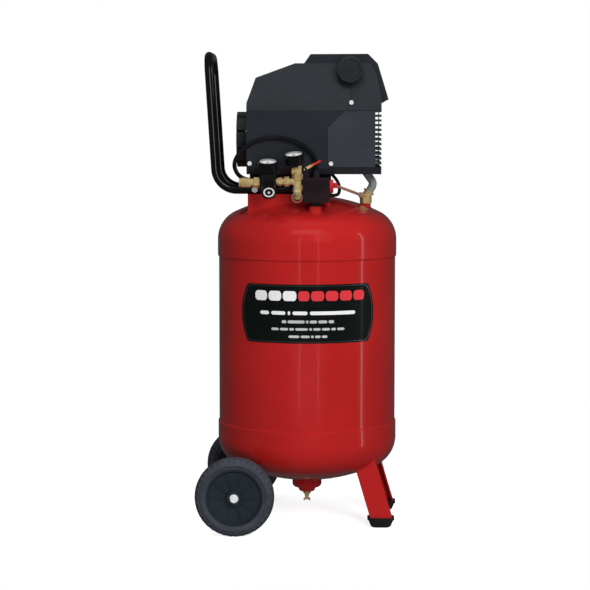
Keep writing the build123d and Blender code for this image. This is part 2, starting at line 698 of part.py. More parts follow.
def hood_outline(inset):
    """Front view of the raised hood over the cylinder head and the air inlet."""
    corners = [(-12, BROW_Z - 9), (9, 1071.5), (138, 1072), (160, 1050), (184.5, 970), (166, 960), (120, 960)]
    face = make_face(Polyline(*corners, close=True))
    return offset(face, -inset, kind=Kind.INTERSECTION) if inset else face


def shroud_body(inset):
    """The cover's filled volume, or its cavity when inset by the wall thickness."""
    depth, hood_depth = SHROUD_Y - inset, BROW_Y - 2 - inset
    body = Pos(0, depth, 0) * extrude(Plane.XZ * shroud_outline(inset), 2 * depth)
    lean = (SHROUD_Y - BROW_Y) / (BROW_Z - CREASE_Z)
    for side in (-1, 1):
        far = SHROUD_Y + 40
        face = make_face(
            Polyline((side * depth, CREASE_Z), (side * (depth - lean * 200), CREASE_Z + 200),
                     (side * far, CREASE_Z + 200), (side * far, CREASE_Z), close=True)
        )
        body -= Pos(-200, 0, 0) * extrude(Plane.YZ * face, 450)
        tuck = make_face(
            Polyline((side * depth, SHROUD_BOTTOM_Z + 14), (side * (depth - 8), SHROUD_BOTTOM_Z),
                     (side * (depth - 8), 690), (side * far, 690), (side * far, SHROUD_BOTTOM_Z + 14), close=True)
        )
        body -= Pos(-200, 0, 0) * extrude(Plane.YZ * tuck, 450)
    hood = Pos(0, hood_depth, 0) * extrude(Plane.XZ * hood_outline(inset), 2 * hood_depth)
    return body + hood


def raised_panel():
    """The low step on the front face, right of the slanting line."""
    corners = [(49, SHROUD_BOTTOM_Z + 15), (49, 908), (87, CREASE_Z - 1), (168, CREASE_Z - 1), (168, SHROUD_BOTTOM_Z + 15)]
    step = 3.5
    face = Pos(0, -SHROUD_Y, 0) * (Plane.XZ * make_face(Polyline(*corners, close=True)))
    return extrude(face, step, taper=20)


def front_y(z):
    """Y of the cover's front face at a height."""
    lean = (SHROUD_Y - BROW_Y) / (BROW_Z - CREASE_Z)
    return -SHROUD_Y + lean * max(0.0, z - CREASE_Z)


def shroud():
    """Both halves of the cover, split on the plane Y = 0."""
    cover = shroud_body(0) - shroud_body(SHROUD_T)
    cover -= block(-300, 300, -300, 300, 600, SHROUD_BOTTOM_Z)
    cover += raised_panel() - shroud_body(0)
    for n in range(SLOT_COUNT):
        z = SLOT_TOP_Z - n * SLOT_PITCH
        cover -= block(154, 175, -200, 200, z - SLOT_H / 2, z + SLOT_H / 2)
    cover += block(163, 165.2, -3.5, 3.5, SHROUD_BOTTOM_Z + 4, CREASE_Z)
    cover -= axial(-150, -125, MOTOR_R + 2)
    for start, end, radius in (((88, 944), (97, 957), 1.5), ((100, 969.5), (99.3, 1003), 1.0)):
        cover += rod((start[0], front_y(start[1]), start[1]), (end[0], front_y(end[1]), end[1]), radius)
    seat = rod((INTAKE_X, -60, INTAKE_Z), (INTAKE_X, -106, INTAKE_Z), 24.0) - shroud_body(SHROUD_T)
    cover += seat
    cover -= rod((INTAKE_X, -60, INTAKE_Z - 8), (INTAKE_X, -120, INTAKE_Z - 8), 9.2)
    for x, z in SCREW_SPOTS:
        for side in (-1, 1):
            start, end = (x, side * 104, z), (x, side * (SHROUD_Y - 1), z)
            post = rod(start, end, 5.5) & shroud_body(0)
            cover += post
            cover -= rod((x, side * 100, z), (x, side * 140, z), 2.2)
            seat_y = screw_seat(z)
            cover -= rod((x, side * seat_y, z), (x, side * 140, z), 6.5)
    return cover


def screw_seat(z):
    """Distance from the middle plane to a cover screw's seat."""
    return SHROUD_Y - (1.5 if z < CREASE_Z else 7.5)


def shroud_half(cover, side):
    far = 220
    keep = block(-300, 300, min(0, side * far), max(0, side * far), 700, 1200)
    half = cover & keep
    return [s for s in half.solids() if s.volume > 2000]


def shroud_screws():
    """Washer-headed socket screws that hold the cover to the pump."""
    pieces = []
    for x, z in SCREW_SPOTS:
        seat = screw_seat(z)
        screw = rod((x, -seat, z), (x, -seat - 1.2, z), 5.0)
        screw += rod((x, -seat - 1.2, z), (x, -seat - 4.6, z), 4.3)
        screw -= hexagon((x, -seat - 1.6, z), (x, -seat - 5, z), 4.6)
        screw += rod((x, -seat, z), (x, -106, z), 2.2)
        pieces += both_sides(screw)
    return pieces


# ---- intake filter ----
def filter_cap():
    """The twist-off filter cover: a scalloped rim round a sunk, ribbed disc."""
    back, front = -105.5, -127.5
    cap = rod((INTAKE_X, back, INTAKE_Z), (INTAKE_X, front, INTAKE_Z), 30.5)
    cap = fillet(cap.edges().filter_by(GeomType.CIRCLE).group_by(Axis.Y)[0], 4.0)
    cap -= rod((INTAKE_X, back + 1, INTAKE_Z), (INTAKE_X, -120, INTAKE_Z), 26.5)
    cap -= rod((INTAKE_X, -124, INTAKE_Z), (INTAKE_X, front - 1, INTAKE_Z), 23.0)
    for n in range(16):
        angle = math.radians(n * 22.5)
        x, z = INTAKE_X + 31.6 * math.cos(angle), INTAKE_Z + 31.6 * math.sin(angle)
        cap -= rod((x, back + 4, z), (x, front - 1, z), 2.8)
    rib = block(7, 21, front + 2.2, front + 4, -1.1, 1.1)
    for n in range(12):
        cap += Pos(INTAKE_X, 0, INTAKE_Z) * Rot(0, n * 30 + 9, 0) * rib
    return cap + rod((INTAKE_X, -123, INTAKE_Z), (INTAKE_X, front + 1.5, INTAKE_Z), 5.0)


def filter_element():
    return rod((INTAKE_X, -108, INTAKE_Z), (INTAKE_X, -119, INTAKE_Z), 25.5, 4.0)


# ---- discharge side ----
PORT_AXIS = Vector(0.52, 0.03, 0.85).normalized()
DISCHARGE_R = 9.2
DISCHARGE_PORT = 12.0
BANJO = (SWITCH_X1 + 12.5, -150.0, 779.0)
UNLOADER_AXIS = (Vector(*BANJO) - Vector(VALVE_X, 0, VALVE_Z)).normalized()
UNLOADER_R = 3.2
UNLOADER_PORT = 18.0


def check_valve_body():
    """The brass check valve: thread, hexagon, slanting inlet and the small unloader port."""
    centre = (VALVE_X, 0, VALVE_Z)
    body = rod((VALVE_X, 0, 712), (VALVE_X, 0, 734), 9.0)
    body += hexagon((VALVE_X, 0, 733.2), (VALVE_X, 0, 749), 24.0)
    body += rod((VALVE_X, 0, 748), (VALVE_X, 0, 753), 11.0)
    body += rod(centre, along(centre, PORT_AXIS, DISCHARGE_PORT), 10.8)
    body += rod(centre, along(centre, UNLOADER_AXIS, UNLOADER_PORT), 5.5)
    bore = rod((VALVE_X, 0, 700), (VALVE_X, 0, 748), 4.0)
    return body - bore


def discharge_route():
    start = along((VALVE_X, 0, VALVE_Z), PORT_AXIS, DISCHARGE_PORT)
    return [
        start, along(start, PORT_AXIS, 24), (134.5, 27.0, 805.0), (139.0, 72.0, 838.0),
        (139.0, 73.0, 960.0), (139.0, 26.0, 1010.0), (CYL_X + HEAD_HALF, 26.0, 1010.0),
    ]


def discharge_tube():
    return tube(discharge_route(), DISCHARGE_R, 7.0, bend=20.0)


def unloader_tube():
    """The thin straight tube from the check valve to the banjo on the switch."""
    start = along(BANJO, -UNLOADER_AXIS, 4.9)
    end = along((VALVE_X, 0, VALVE_Z), UNLOADER_AXIS, UNLOADER_PORT)
    return rod(start, end, UNLOADER_R, 2.2)


def tube_nuts():
    """Compression nuts: both ends of the discharge tube, and the unloader tube at the valve."""
    discharge = discharge_route()
    unloader = along((VALVE_X, 0, VALVE_Z), UNLOADER_AXIS, UNLOADER_PORT)
    pieces = []
    for start, axis, length, flats, hole in (
        (discharge[0], PORT_AXIS, 4, 23.0, DISCHARGE_R),
        (discharge[-1], Vector(1, 0, 0), 10, 23.0, DISCHARGE_R),
        (unloader, UNLOADER_AXIS, 12, 12.0, UNLOADER_R),
    ):
        pieces += hexagon(start, along(start, axis, length), flats, hole).solids()
    return pieces


# ---- controls ----
def switch_base():
    """The switch's die-cast foot, with the pipe nipple below it and the unloader nipple at its side."""
    x0, x1, y0, y1 = SWITCH_X0, SWITCH_X1, SWITCH_Y0, SWITCH_Y1
    foot = fillet(block(x0, x1, y0, y1, SWITCH_Z0, SWITCH_SPLIT_Z).edges().filter_by(Axis.Z), 5)
    x, y = SWITCH_PORT
    foot += hexagon((x, y, 735), (x, y, SWITCH_Z0 + 1), 24.0)
    return foot + rod((x, y, 712), (x, y, 736), 9.0)


def switch_cover():
    """The switch's moulded cover, with the bracket that carries the lever."""
    x0, x1, y0, y1 = SWITCH_X0, SWITCH_X1, SWITCH_Y0, SWITCH_Y1
    cover = block(x0, x1, y0, y1, SWITCH_SPLIT_Z, SWITCH_Z1)
    cover = fillet(cover.edges().filter_by(Axis.Z), 5)
    cover = fillet(cover.edges().group_by(Axis.Z)[-1], 3)
    cover -= block(x0 + 2.5, x1 - 2.5, y0 + 2.5, y1 - 2.5, SWITCH_SPLIT_Z, SWITCH_Z1 - 2.5)
    px, py, pz = LEVER_PIVOT
    for y in (py - 6.3, py + 2.3):
        ear = slab([(px - 3, SWITCH_Z1 - 4), (px + 14, SWITCH_Z1 - 4), (px + 5, pz + 4), (px - 4, pz + 4)], y, y + 4)
        cover += ear
    cover -= rod((px, py - 10, pz), (px, py + 10, pz), 1.6)
    for z in (SWITCH_SPLIT_Z + 9, SWITCH_SPLIT_Z + 15, SWITCH_SPLIT_Z + 21):
        cover -= block(x0 + 8, x1 - 8, y0 - 1, y0 + 1, z, z + 2)
    return cover


def unloader_valve():
    """The red diaphragm cap on the switch's side, with its banjo outlet."""
    x = SWITCH_X1
    cap = rod((x, -150, 777), (x + 8, -150, 777), 15.0)
    cap = fillet(cap.edges().filter_by(GeomType.CIRCLE).group_by(Axis.X)[-1], 2.0)
    cap += rod((x + 7, *BANJO[1:]), BANJO, 3.8)
    return cap + rod((BANJO[0], BANJO[1], BANJO[2] - 6), (BANJO[0], BANJO[1], BANJO[2] + 6), 4.7)


def switch_lever():
    """The flat on-off lever on its pin."""
    px, py, pz = LEVER_PIVOT
    tip = (px + 35.5, pz + 19.5)
    bar = slab([(px - 2, pz - 2.6), (px + 3, pz - 2.2), (tip[0] + 1, tip[1] - 2), (tip[0], tip[1] + 1.5),
                (px - 2, pz + 2.6)], py - 2, py + 2)
    return bar + rod((px, py - 7, pz), (px, py + 7, pz), 1.5)


def manifold():
    """The brass tree: column, branch to the regulator and branch to the switch."""
    x, y = MANIFOLD_X, RAIL_Y
    tree = rod((x, y, 752), (x, y, 809), MANIFOLD_R)
    tree += hexagon((x, y, 792), (x, y, 805), 20.5)
    tree += rod((x, y, 749), (x, y, 752), MANIFOLD_R - 1.5)
    tree += rod((x - 13, y, 811), (x + 8.5, y, 811), 7.5)
    tree += hexagon((x + 4.5, y, 817), (x + 4.5, y, 823), 8.0)
    tree += rod((TANK_GAUGE_X, y, 811), (TANK_GAUGE_X, y, TANK_GAUGE_Z), 6.0)
    tree += rod((x, y, BRANCH_Z), (REG_X + REG_HALF, y, BRANCH_Z), 7.0)
    tree += hexagon((-48, y, BRANCH_Z), (-37, y, BRANCH_Z), 19.0)
    tree += hexagon((-62, y, BRANCH_Z), (-53, y, BRANCH_Z), 16.0)
    tree += rod((x, y, 774), (SWITCH_X0, y, 774), 7.0)
    return tree + rod((x, y, RELIEF_Z), (x, y - 12, RELIEF_Z), 7.5)


def regulator_body():
    """The regulator: block, gauge pad and the bonnet of its spring."""
    x, y = REG_X, RAIL_Y
    body = block(x - REG_HALF, x + REG_HALF, y - 18, y + 18, 776, 804.5)
    body = fillet(body.edges().filter_by(Axis.Z), 7)
    body += rod((x, y, 802.5), (x, y, LINE_GAUGE_Z), 12.0)
    centre = (x, y, 787)
    body += rod(centre, along(centre, KNOB_AXIS, 28), 13.5)
    return body - rod(along(centre, KNOB_AXIS, 8), along(centre, KNOB_AXIS, 30), 4.0 + RUNNING)


def regulator_knob():
    """The fluted pressure knob with its screw."""
    centre = (REG_X, RAIL_Y, 787)
    plane = Plane(origin=along(centre, KNOB_AXIS, 28.4), z_dir=KNOB_AXIS)
    knob = extrude(Circle(17), 16)
    for n in range(16):
        angle = math.radians(n * 22.5)
        knob -= Pos(17.9 * math.cos(angle), 17.9 * math.sin(angle), 0) * Cylinder(2.0, 24, align=(Align.CENTER, Align.CENTER, Align.MIN))
    knob -= Pos(0, 0, 14.5) * extrude(Circle(13.2) - Circle(7.5), 3)
    return plane * knob + rod(along(centre, KNOB_AXIS, 9), along(centre, KNOB_AXIS, 29), 4.0)


def gauge_bases():
    """Each gauge's lowest point on its axis, with that axis."""
    tank = along((TANK_GAUGE_X, RAIL_Y, TANK_GAUGE_Z), TANK_GAUGE_AXIS, 9.9)
    line = along((REG_X, RAIL_Y, LINE_GAUGE_Z), LINE_GAUGE_AXIS, 3.7)
    return (tank, TANK_GAUGE_AXIS), (line, LINE_GAUGE_AXIS)


def gauge_plane(base, axis):
    return Plane(origin=base, z_dir=axis, x_dir=Vector(1, 0, 0).cross(axis).cross(axis) * -1)


def gauge_cases():
    """Round steel cases, each with its stem, open at the dial."""
    pieces = []
    for (base, axis), stem in zip(gauge_bases(), ((TANK_GAUGE_X, RAIL_Y, TANK_GAUGE_Z), (REG_X, RAIL_Y, LINE_GAUGE_Z))):
        case = extrude(Circle(GAUGE_R), GAUGE_H)
        case = fillet(case.edges().group_by(Axis.Z)[0], 2.0)
        case -= Pos(0, 0, GAUGE_H - 5) * Cylinder(GAUGE_R - 1.8, 6, align=(Align.CENTER, Align.CENTER, Align.MIN))
        whole = gauge_plane(base, axis) * case
        foot = Plane(origin=stem) * Cylinder(5.0, 15, align=(Align.CENTER, Align.CENTER, Align.MIN))
        under = gauge_plane(base, axis) * (Pos(0, 0, -40) * Box(90, 90, 40.5, align=(Align.CENTER, Align.CENTER, Align.MIN)))
        whole += foot & under
        pieces += whole.solids()
    return pieces


def gauge_discs(z0, z1, radius, hole=0.0):
    """One disc for each gauge, between two heights on its axis."""
    pieces = []
    for base, axis in gauge_bases():
        pieces += rod(along(base, axis, z0), along(base, axis, z1), radius, hole).solids()
    return pieces


def gauge_needle(index):
    """A pointer on its pin."""
    base, axis = gauge_bases()[index]
    plane = gauge_plane(base, axis)
    pointer = extrude(make_face(Polyline((-1.2, -5), (1.2, -5), (0.35, 15), (-0.35, 15), close=True)), 0.5)
    hub = extrude(Circle(2.4), 1.0)
    pin = Pos(0, 0, -1.2) * extrude(Circle(0.8), 1.4)
    return plane * Pos(0, 0, GAUGE_H - 3.6) * (Rot(0, 0, 150) * pointer + hub + pin)


def coupler_body():
    """The quick coupler's body, with the hexagon at the regulator and the socket for a plug."""
    y, z = RAIL_Y, COUPLER_Z
    left = REG_X - REG_HALF
    body = hexagon((left, y, z), (left - 13, y, z), 20.0)
    body += rod((left - 13, y, z), (left - 45, y, z), 8.3)
    body += rod((left - 42, y, z), (left - 46, y, z), 9.6)
    return body - rod((left - 22, y, z), (left - 47, y, z), COUPLER_BORE_R)


def coupler_sleeve():
    """The sliding knurled sleeve."""
    y, z = RAIL_Y, COUPLER_Z
    left = REG_X - REG_HALF
    sleeve = rod((left - 20, y, z), (left - 41, y, z), 10.6, 8.3 + RUNNING)
    for n in range(24):
        sleeve -= Pos(left - 30.5, y, z) * Rot(n * 15, 0, 0) * Pos(0, 0, 10.9) * Rot(45, 0, 0) * Box(13, 1.2, 1.2)
    return sleeve


def relief_valve_body():
    """The safety valve on the front of the manifold."""
    x, z = MANIFOLD_X, RELIEF_Z
    y = RAIL_Y - 12
    body = hexagon((x, y, z), (x, y - 8, z), 16.0)
    body += rod((x, y - 8, z), (x, y - 24, z), 6.8)
    return body - rod((x, y - 10, z), (x, y - 25, z), 2.0 + RUNNING)


def relief_stem():
    """The safety valve's pull stem, with the eye for its ring."""
    x, z = MANIFOLD_X, RELIEF_Z
    y = RAIL_Y - 12
    stem = rod((x, y - 14, z), (x, y - 34, z), 2.0) + rod((x, y - 24.3, z), (x, y - 26.5, z), 4.5)
    return stem - rod((x - 4, y - 31, z), (x + 4, y - 31, z), 1.1)


RELIEF_RING_R = 11.0


def relief_ring():
    """The wire pull ring, hanging through the stem's eye."""
    x, y, z = MANIFOLD_X, RAIL_Y - 43, RELIEF_Z
    ring = Torus(RELIEF_RING_R, 0.9)
    return Pos(x, y, z - RELIEF_RING_R) * Rot(90, 0, 0) * ring


def lead_glands():
    """Moulded glands: motor and pump leads on the switch, their far ends, and the supply inlet."""
    motor_end, pump_end = MOTOR_LEAD[-1], PUMP_LEAD[-1]
    motor_in = (Vector(*motor_end) - Vector(*MOTOR_LEAD[-2])).normalized()
    pump_in = (Vector(*pump_end) - Vector(*PUMP_LEAD[-2])).normalized()
    x, y, z = MOTOR_LEAD[0]
    first = rod((x, y, SWITCH_Z1), (x, y, z - 6), 8.0) + rod((x, y, z - 7), (x, y, z), 6.2)
    px, py, pz = PUMP_LEAD[0]
    second = rod((SWITCH_X1, py, pz), (px, py, pz), 5.2)
    motor_gland = rod(motor_end, along(motor_end, motor_in, 9), 7.5)
    motor_gland -= axial(-130, -40, MOTOR_R)
    pump_gland = rod(pump_end, along(pump_end, pump_in, 14), 5.2)
    pump_gland -= block(CASE_X0, CASE_X1, -62, 62, 822, CASE_TOP_Z)
    supply = rod((SWITCH_X0, -128, 774), (SWITCH_X0 - 11, -128, 774), 7.0, 4.5)
    glands = [first, second, motor_gland, pump_gland, supply]
    return [s for gland in glands for s in gland.solids()]


def drain_valve_body():
    body = hexagon((0, 0, 56), (0, 0, 62), 15.0) + rod((0, 0, 62), (0, 0, 76), 8.0)
    body += rod((0, 0, 51), (0, 0, 56), 5.5)
    return body - rod((0, 0, 40), (0, 0, 64), 3.0 + RUNNING)


def drain_valve_key():
    """The wing key under the tank."""
    key = rod((0, 0, 46), (0, 0, 61), 3.0) + rod((0, 0, 46), (0, 0, 50), 4.2)
    wings = slab([(-8, 38.5), (-3, 41.5), (3, 41.5), (8, 38.5), (8, 45), (3, 48), (-3, 48), (-8, 45)], -1.4, 1.4)
    return key + wings


# ---- assembly ----
def build_nodes():
    envelope = tank_envelope()
    leg_solids = legs(envelope)
    cover = shroud()
    nodes = {
        "tank_shell": tank_shell(),
        "tank_top_head": top_head(),
        "tank_bottom_head": bottom_head(),
        "tank_bosses": tank_bungs(envelope) + drain_boss(envelope).solids(),
        "tank_label": tank_label(),
        "drain_valve_body": drain_valve_body(),
        "drain_valve_key": drain_valve_key(),
        "wheel_brackets": wheel_brackets(envelope),
        "wheel_hub_front": wheel_hub(-1),
        "wheel_tyre_front": wheel_tyre(-1),
        "wheel_hub_rear": wheel_hub(1),
        "wheel_tyre_rear": wheel_tyre(1),
        "legs": leg_solids,
        "foot_caps": foot_caps(leg_solids),
        "pump_saddle": pump_saddle(envelope),
        "handle_tube": handle_tube(),
        "fasteners": axle_bolts() + frame_bolts() + head_bolts() + shroud_screws(),
        "rubber_mounts": rubber_mounts(),
        "pump_base": pump_base(),
        "motor_end_bell": motor_end_bell(),
        "motor_housing": motor_housing(),
        "motor_stator": motor_stator(),
        "motor_rotor": motor_rotor(),
        "motor_shaft": motor_shaft(),
        "bearings": bearings(),
        "cooling_fan": cooling_fan(),
        "crankcase": crankcase(),
        "cylinder": cylinder(),
        "valve_plate": valve_plate(),
        "cylinder_head": cylinder_head(),
        "connecting_rod": connecting_rod(),
        "piston": piston(),
        "shroud_front": shroud_half(cover, -1),
        "shroud_rear": shroud_half(cover, 1),
        "filter_cap": filter_cap(),
        "filter_element": filter_element(),
        "check_valve_body": check_valve_body(),
        "discharge_tube": discharge_tube(),
        "unloader_tube": unloader_tube(),
        "tube_nuts": tube_nuts(),
        "switch_base": switch_base(),
        "switch_cover": switch_cover(),
        "unloader_valve": unloader_valve(),
        "switch_lever": switch_lever(),
        "manifold": manifold(),
        "regulator_body": regulator_body(),
        "regulator_knob": regulator_knob(),
        "gauge_cases": gauge_cases(),
        "gauge_dials": gauge_discs(GAUGE_H - 5, GAUGE_H - 4.4, GAUGE_R - 1.9, 0.9),
        "gauge_lenses": gauge_discs(GAUGE_H - 2, GAUGE_H - 0.6, GAUGE_R - 1.9),
        "tank_gauge_needle": gauge_needle(0),
        "line_gauge_needle": gauge_needle(1),
        "coupler_body": coupler_body(),
        "coupler_sleeve": coupler_sleeve(),
        "relief_valve_body": relief_valve_body(),
        "relief_stem": relief_stem(),
        "relief_ring": relief_ring(),
        "motor_lead": tube(MOTOR_LEAD, LEAD_R),
        "pump_lead": tube(PUMP_LEAD, PUMP_LEAD_R),
        "lead_glands": lead_glands(),
    }
    return nodes


def solids_of(shape):
    return shape if isinstance(shape, list) else list(shape.solids())


os.makedirs("parts", exist_ok=True)
for name, shape in build_nodes().items():
    solids = [Pos(SHIFT_X, 0, 0) * s for s in solids_of(shape)]
    export_step(solids[0] if len(solids) == 1 else Compound(children=solids), f"parts/{name}.step")
for name, route in (("motor lead", MOTOR_LEAD), ("pump lead", PUMP_LEAD)):
    print(name, "bend radii", [round(r, 1) for r in tube_radii(route)])
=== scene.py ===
"""Looks of the upright tank air compressor: leads, finishes, tyres, label, dials, welds and light.

Places and sizes of the object are millimetres, measured from the tank's upright axis, and at() turns such a
place into metres in the row frame. The camera, the lamps and the scales of material nodes are in metres.
"""
import json
import math
import bpy
from mathutils import Matrix, Vector


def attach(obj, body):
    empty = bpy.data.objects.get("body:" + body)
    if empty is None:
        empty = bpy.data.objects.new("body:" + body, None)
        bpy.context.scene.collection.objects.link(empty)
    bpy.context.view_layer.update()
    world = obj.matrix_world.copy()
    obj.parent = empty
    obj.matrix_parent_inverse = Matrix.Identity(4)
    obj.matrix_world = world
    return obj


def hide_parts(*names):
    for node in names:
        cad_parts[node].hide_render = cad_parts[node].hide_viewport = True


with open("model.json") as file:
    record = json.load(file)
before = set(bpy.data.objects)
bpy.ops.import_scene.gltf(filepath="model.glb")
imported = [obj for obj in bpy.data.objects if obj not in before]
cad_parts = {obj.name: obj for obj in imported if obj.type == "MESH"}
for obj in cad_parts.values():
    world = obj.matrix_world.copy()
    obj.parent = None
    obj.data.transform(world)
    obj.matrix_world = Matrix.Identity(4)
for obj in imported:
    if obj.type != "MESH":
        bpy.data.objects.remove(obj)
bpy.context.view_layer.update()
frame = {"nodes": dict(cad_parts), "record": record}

MM = 0.001
TANK_X = 0.0206  # where the tank's axis stands in the row frame, in metres

SHELL_R = 203.2
HEAD_R = 205.7
CROWN_R = 390.0
KNUCKLE_R = 70.0
LOW_CROWN_Z = 94.0
HIGH_CROWN_Z = 752.0
HEAD_RISE = CROWN_R - math.sqrt((CROWN_R - KNUCKLE_R) ** 2 - (HEAD_R - KNUCKLE_R) ** 2)
SEAM_IN = 37.2  # from a head's tangent line to its lap seam

LABEL_Z = 496.5
LABEL_HALF_H = 65.5
LABEL_CORNER_W = 134.0
LABEL_HALF_W = 147.3
LABEL_TURN = 1.46  # degrees round the tank

SWITCH_BUNG = (20.0, -150.0)
SWITCH_BUNG_WELD_R = 15.4
VALVE_BUNG = (135.0, 0.0)
VALVE_BUNG_WELD_R = 12.0
DRAIN_BOSS = (0.0, 0.0)
DRAIN_WELD_R = 34.3

WHEEL_X = -158.0
WHEEL_Y = 214.0
WHEEL_Z = 88.9

LEG_LEFT_X = 144.6  # the leg's left side, at the height of its foot
LEG_FOOT_Z = 26.0
LEG_LEAN = 0.30
LEG_WIDTH = 50.3
LEG_DEPTH = 30.0
LEG_OUTER_Y = 120.0
REAR_LEG_OUT = 8.0
REAR_LEG_NEARER = 10.0

DIAL_START = 240.0  # the lowest mark's direction, in degrees
DIAL_SWEEP = 270.0  # degrees from the lowest mark to the highest
CASE_H = 22.5
DIAL_FACE_Z = CASE_H - 4.4 + 0.04  # the ink stands just above the dial

REGULATOR = (-84.0, -165.0, 787.0)
KNOB_AXIS = (0.07, -0.864, -0.5)
KNOB_FACE = 28.4 + 14.5  # from the regulator's middle: where the knob starts, and its length

MOTOR_AXIS_Z = 880.0

CAMERA_PLACE = (0.0936, -4.4595, 0.924)
CAMERA_DIP = 5.165  # degrees below level
CAMERA_YAW = 1.297
CAMERA_LENS = 118.1
SENSOR_WIDTH = 36.0
FLOOR_R = 0.66


def at(x, y, z):
    """A point given in millimetres from the tank's axis, as a row-frame point."""
    return Vector((x * MM + TANK_X, y * MM, z * MM))


# ---------------------------------------------------------------- camera
def make_camera():
    """A long lens at the height of the pump, looking slightly down."""
    data = bpy.data.cameras.new("camera")
    data.sensor_width = SENSOR_WIDTH
    data.lens = CAMERA_LENS
    data.clip_end = 60.0
    camera = bpy.data.objects.new("camera", data)
    camera.location = CAMERA_PLACE
    camera.rotation_euler = (math.radians(90.0 - CAMERA_DIP), 0.0, math.radians(CAMERA_YAW))
    bpy.context.scene.collection.objects.link(camera)
    bpy.context.scene.camera = camera


make_camera()


# ---------------------------------------------------------------- materials
class Nodes:
    """A small helper that builds one node material from top to bottom."""

    def __init__(self, name):
        self.material = bpy.data.materials.new(name)
        self.material.use_nodes = True
        self.tree = self.material.node_tree
        self.shader = self.tree.nodes["Principled BSDF"]
        self.coords = self.add("ShaderNodeTexCoord").outputs["Object"]
        self.bump_socket = None

    def add(self, kind, **inputs):
        node = self.tree.nodes.new(kind)
        for key, value in inputs.items():
            socket = node.inputs[key.replace("_", " ")]
            if isinstance(value, bpy.types.NodeSocket):
                self.tree.links.new(value, socket)
            else:
                socket.default_value = value
        return node

    def link(self, source, target):
        self.tree.links.new(source, target)

    def stretched(self, scale):
        if tuple(scale) == (1, 1, 1):
            return self.coords
        return self.add("ShaderNodeMapping", Vector=self.coords, Scale=scale).outputs["Vector"]

    def noise(self, scale, detail=4.0, rough=0.55, stretch=(1, 1, 1)):
        place = self.stretched(stretch)
        node = self.add("ShaderNodeTexNoise", Vector=place, Scale=scale, Detail=detail, Roughness=rough)
        return node.outputs["Fac"]

    def cells(self, scale):
        return self.add("ShaderNodeTexVoronoi", Vector=self.coords, Scale=scale).outputs["Distance"]

    def ramp(self, factor, stops):
        node = self.tree.nodes.new("ShaderNodeValToRGB")
        elements = node.color_ramp.elements
        while len(elements) < len(stops):
            elements.new(0.5)
        for element, (place, colour) in zip(elements, stops):
            element.position = place
            element.color = (*colour, 1.0)
        self.link(factor, node.inputs["Fac"])
        return node.outputs["Color"]

    def remap(self, factor, low, high, start=0.3, stop=0.7):
        node = self.add("ShaderNodeMapRange", Value=factor)
        node.inputs["From Min"].default_value = start
        node.inputs["From Max"].default_value = stop
        node.inputs["To Min"].default_value = low
        node.inputs["To Max"].default_value = high
        return node.outputs["Result"]

    def mix(self, factor, first, second):
        node = self.tree.nodes.new("ShaderNodeMix")
        node.data_type = "RGBA"
        factor_socket, first_socket, second_socket = node.inputs[0], node.inputs[6], node.inputs[7]
        for socket, value in ((factor_socket, factor), (first_socket, first), (second_socket, second)):
            if isinstance(value, bpy.types.NodeSocket):
                self.link(value, socket)
            elif hasattr(value, "__len__"):
                socket.default_value = (*value, 1.0)
            else:
                socket.default_value = value
        return node.outputs[2]

    def upward(self, amount, start):
        """Settled dust: none below a start value of the normal's upward part, the full amount on tops."""
        normal = self.add("ShaderNodeNewGeometry").outputs["Normal"]
        z = self.add("ShaderNodeSeparateXYZ", Vector=normal).outputs["Z"]
        return self.remap(z, 0.0, amount, start, 1.0)

    def bump(self, height, strength, distance):
        node = self.add("ShaderNodeBump", Height=height, Strength=strength, Distance=distance)
        if self.bump_socket is not None:
            self.link(self.bump_socket, node.inputs["Normal"])
        self.bump_socket = node.outputs["Normal"]
        self.link(self.bump_socket, self.shader.inputs["Normal"])

    def colour(self, socket):
        self.link(socket, self.shader.inputs["Base Color"])

    def roughness(self, socket):
        self.link(socket, self.shader.inputs["Roughness"])

    def set(self, **values):
        for key, value in values.items():
            self.shader.inputs[key.replace("_", " ")].default_value = value
        return self.material


def paint(name, dark, light, rough=(0.16, 0.24), coat=0.6, peel=0.12, dust=0.012):
    """Sprayed paint: slow colour drift, orange peel, faint scuffs and settled dust."""
    n = Nodes(name)
    drift = n.ramp(n.noise(5.0, 3.0), [(0.35, dark), (0.65, light)])
    specks = n.remap(n.noise(420.0, 2.0), 0.0, 1.0, 0.66, 0.72)
    drift = n.mix(specks, drift, tuple(min(1.0, c * 1.25 + 0.004) for c in light))
    n.colour(n.mix(n.upward(dust, 0.75), drift, (0.32, 0.29, 0.27)))
    n.roughness(n.remap(n.noise(38.0, 5.0, stretch=(1, 1, 0.35)), rough[0], rough[1]))
    n.bump(n.noise(260.0, 2.0, 0.4), peel, 0.0004)
    n.bump(n.noise(9.0, 2.0, 0.4), 0.05, 0.002)
    return n.set(Coat_Weight=coat, Coat_Roughness=0.04, Coat_IOR=1.5, Specular_IOR_Level=0.25)


def moulded(name, dark, light, rough=(0.42, 0.55), grain=900.0, depth=0.22, dust=0.05):
    """Moulded plastic: spark-eroded grain, flow marks and a little dust."""
    n = Nodes(name)
    flow = n.ramp(n.noise(7.0, 5.0, stretch=(1, 1, 2.2)), [(0.32, dark), (0.68, light)])
    n.colour(n.mix(n.upward(dust, 0.6), flow, (0.30, 0.30, 0.30)))
    n.roughness(n.remap(n.noise(60.0, 4.0), rough[0], rough[1]))
    n.bump(n.cells(grain), depth, 0.0003)
    n.bump(n.noise(30.0, 3.0), 0.04, 0.001)
    return n.set(Specular_IOR_Level=0.5)


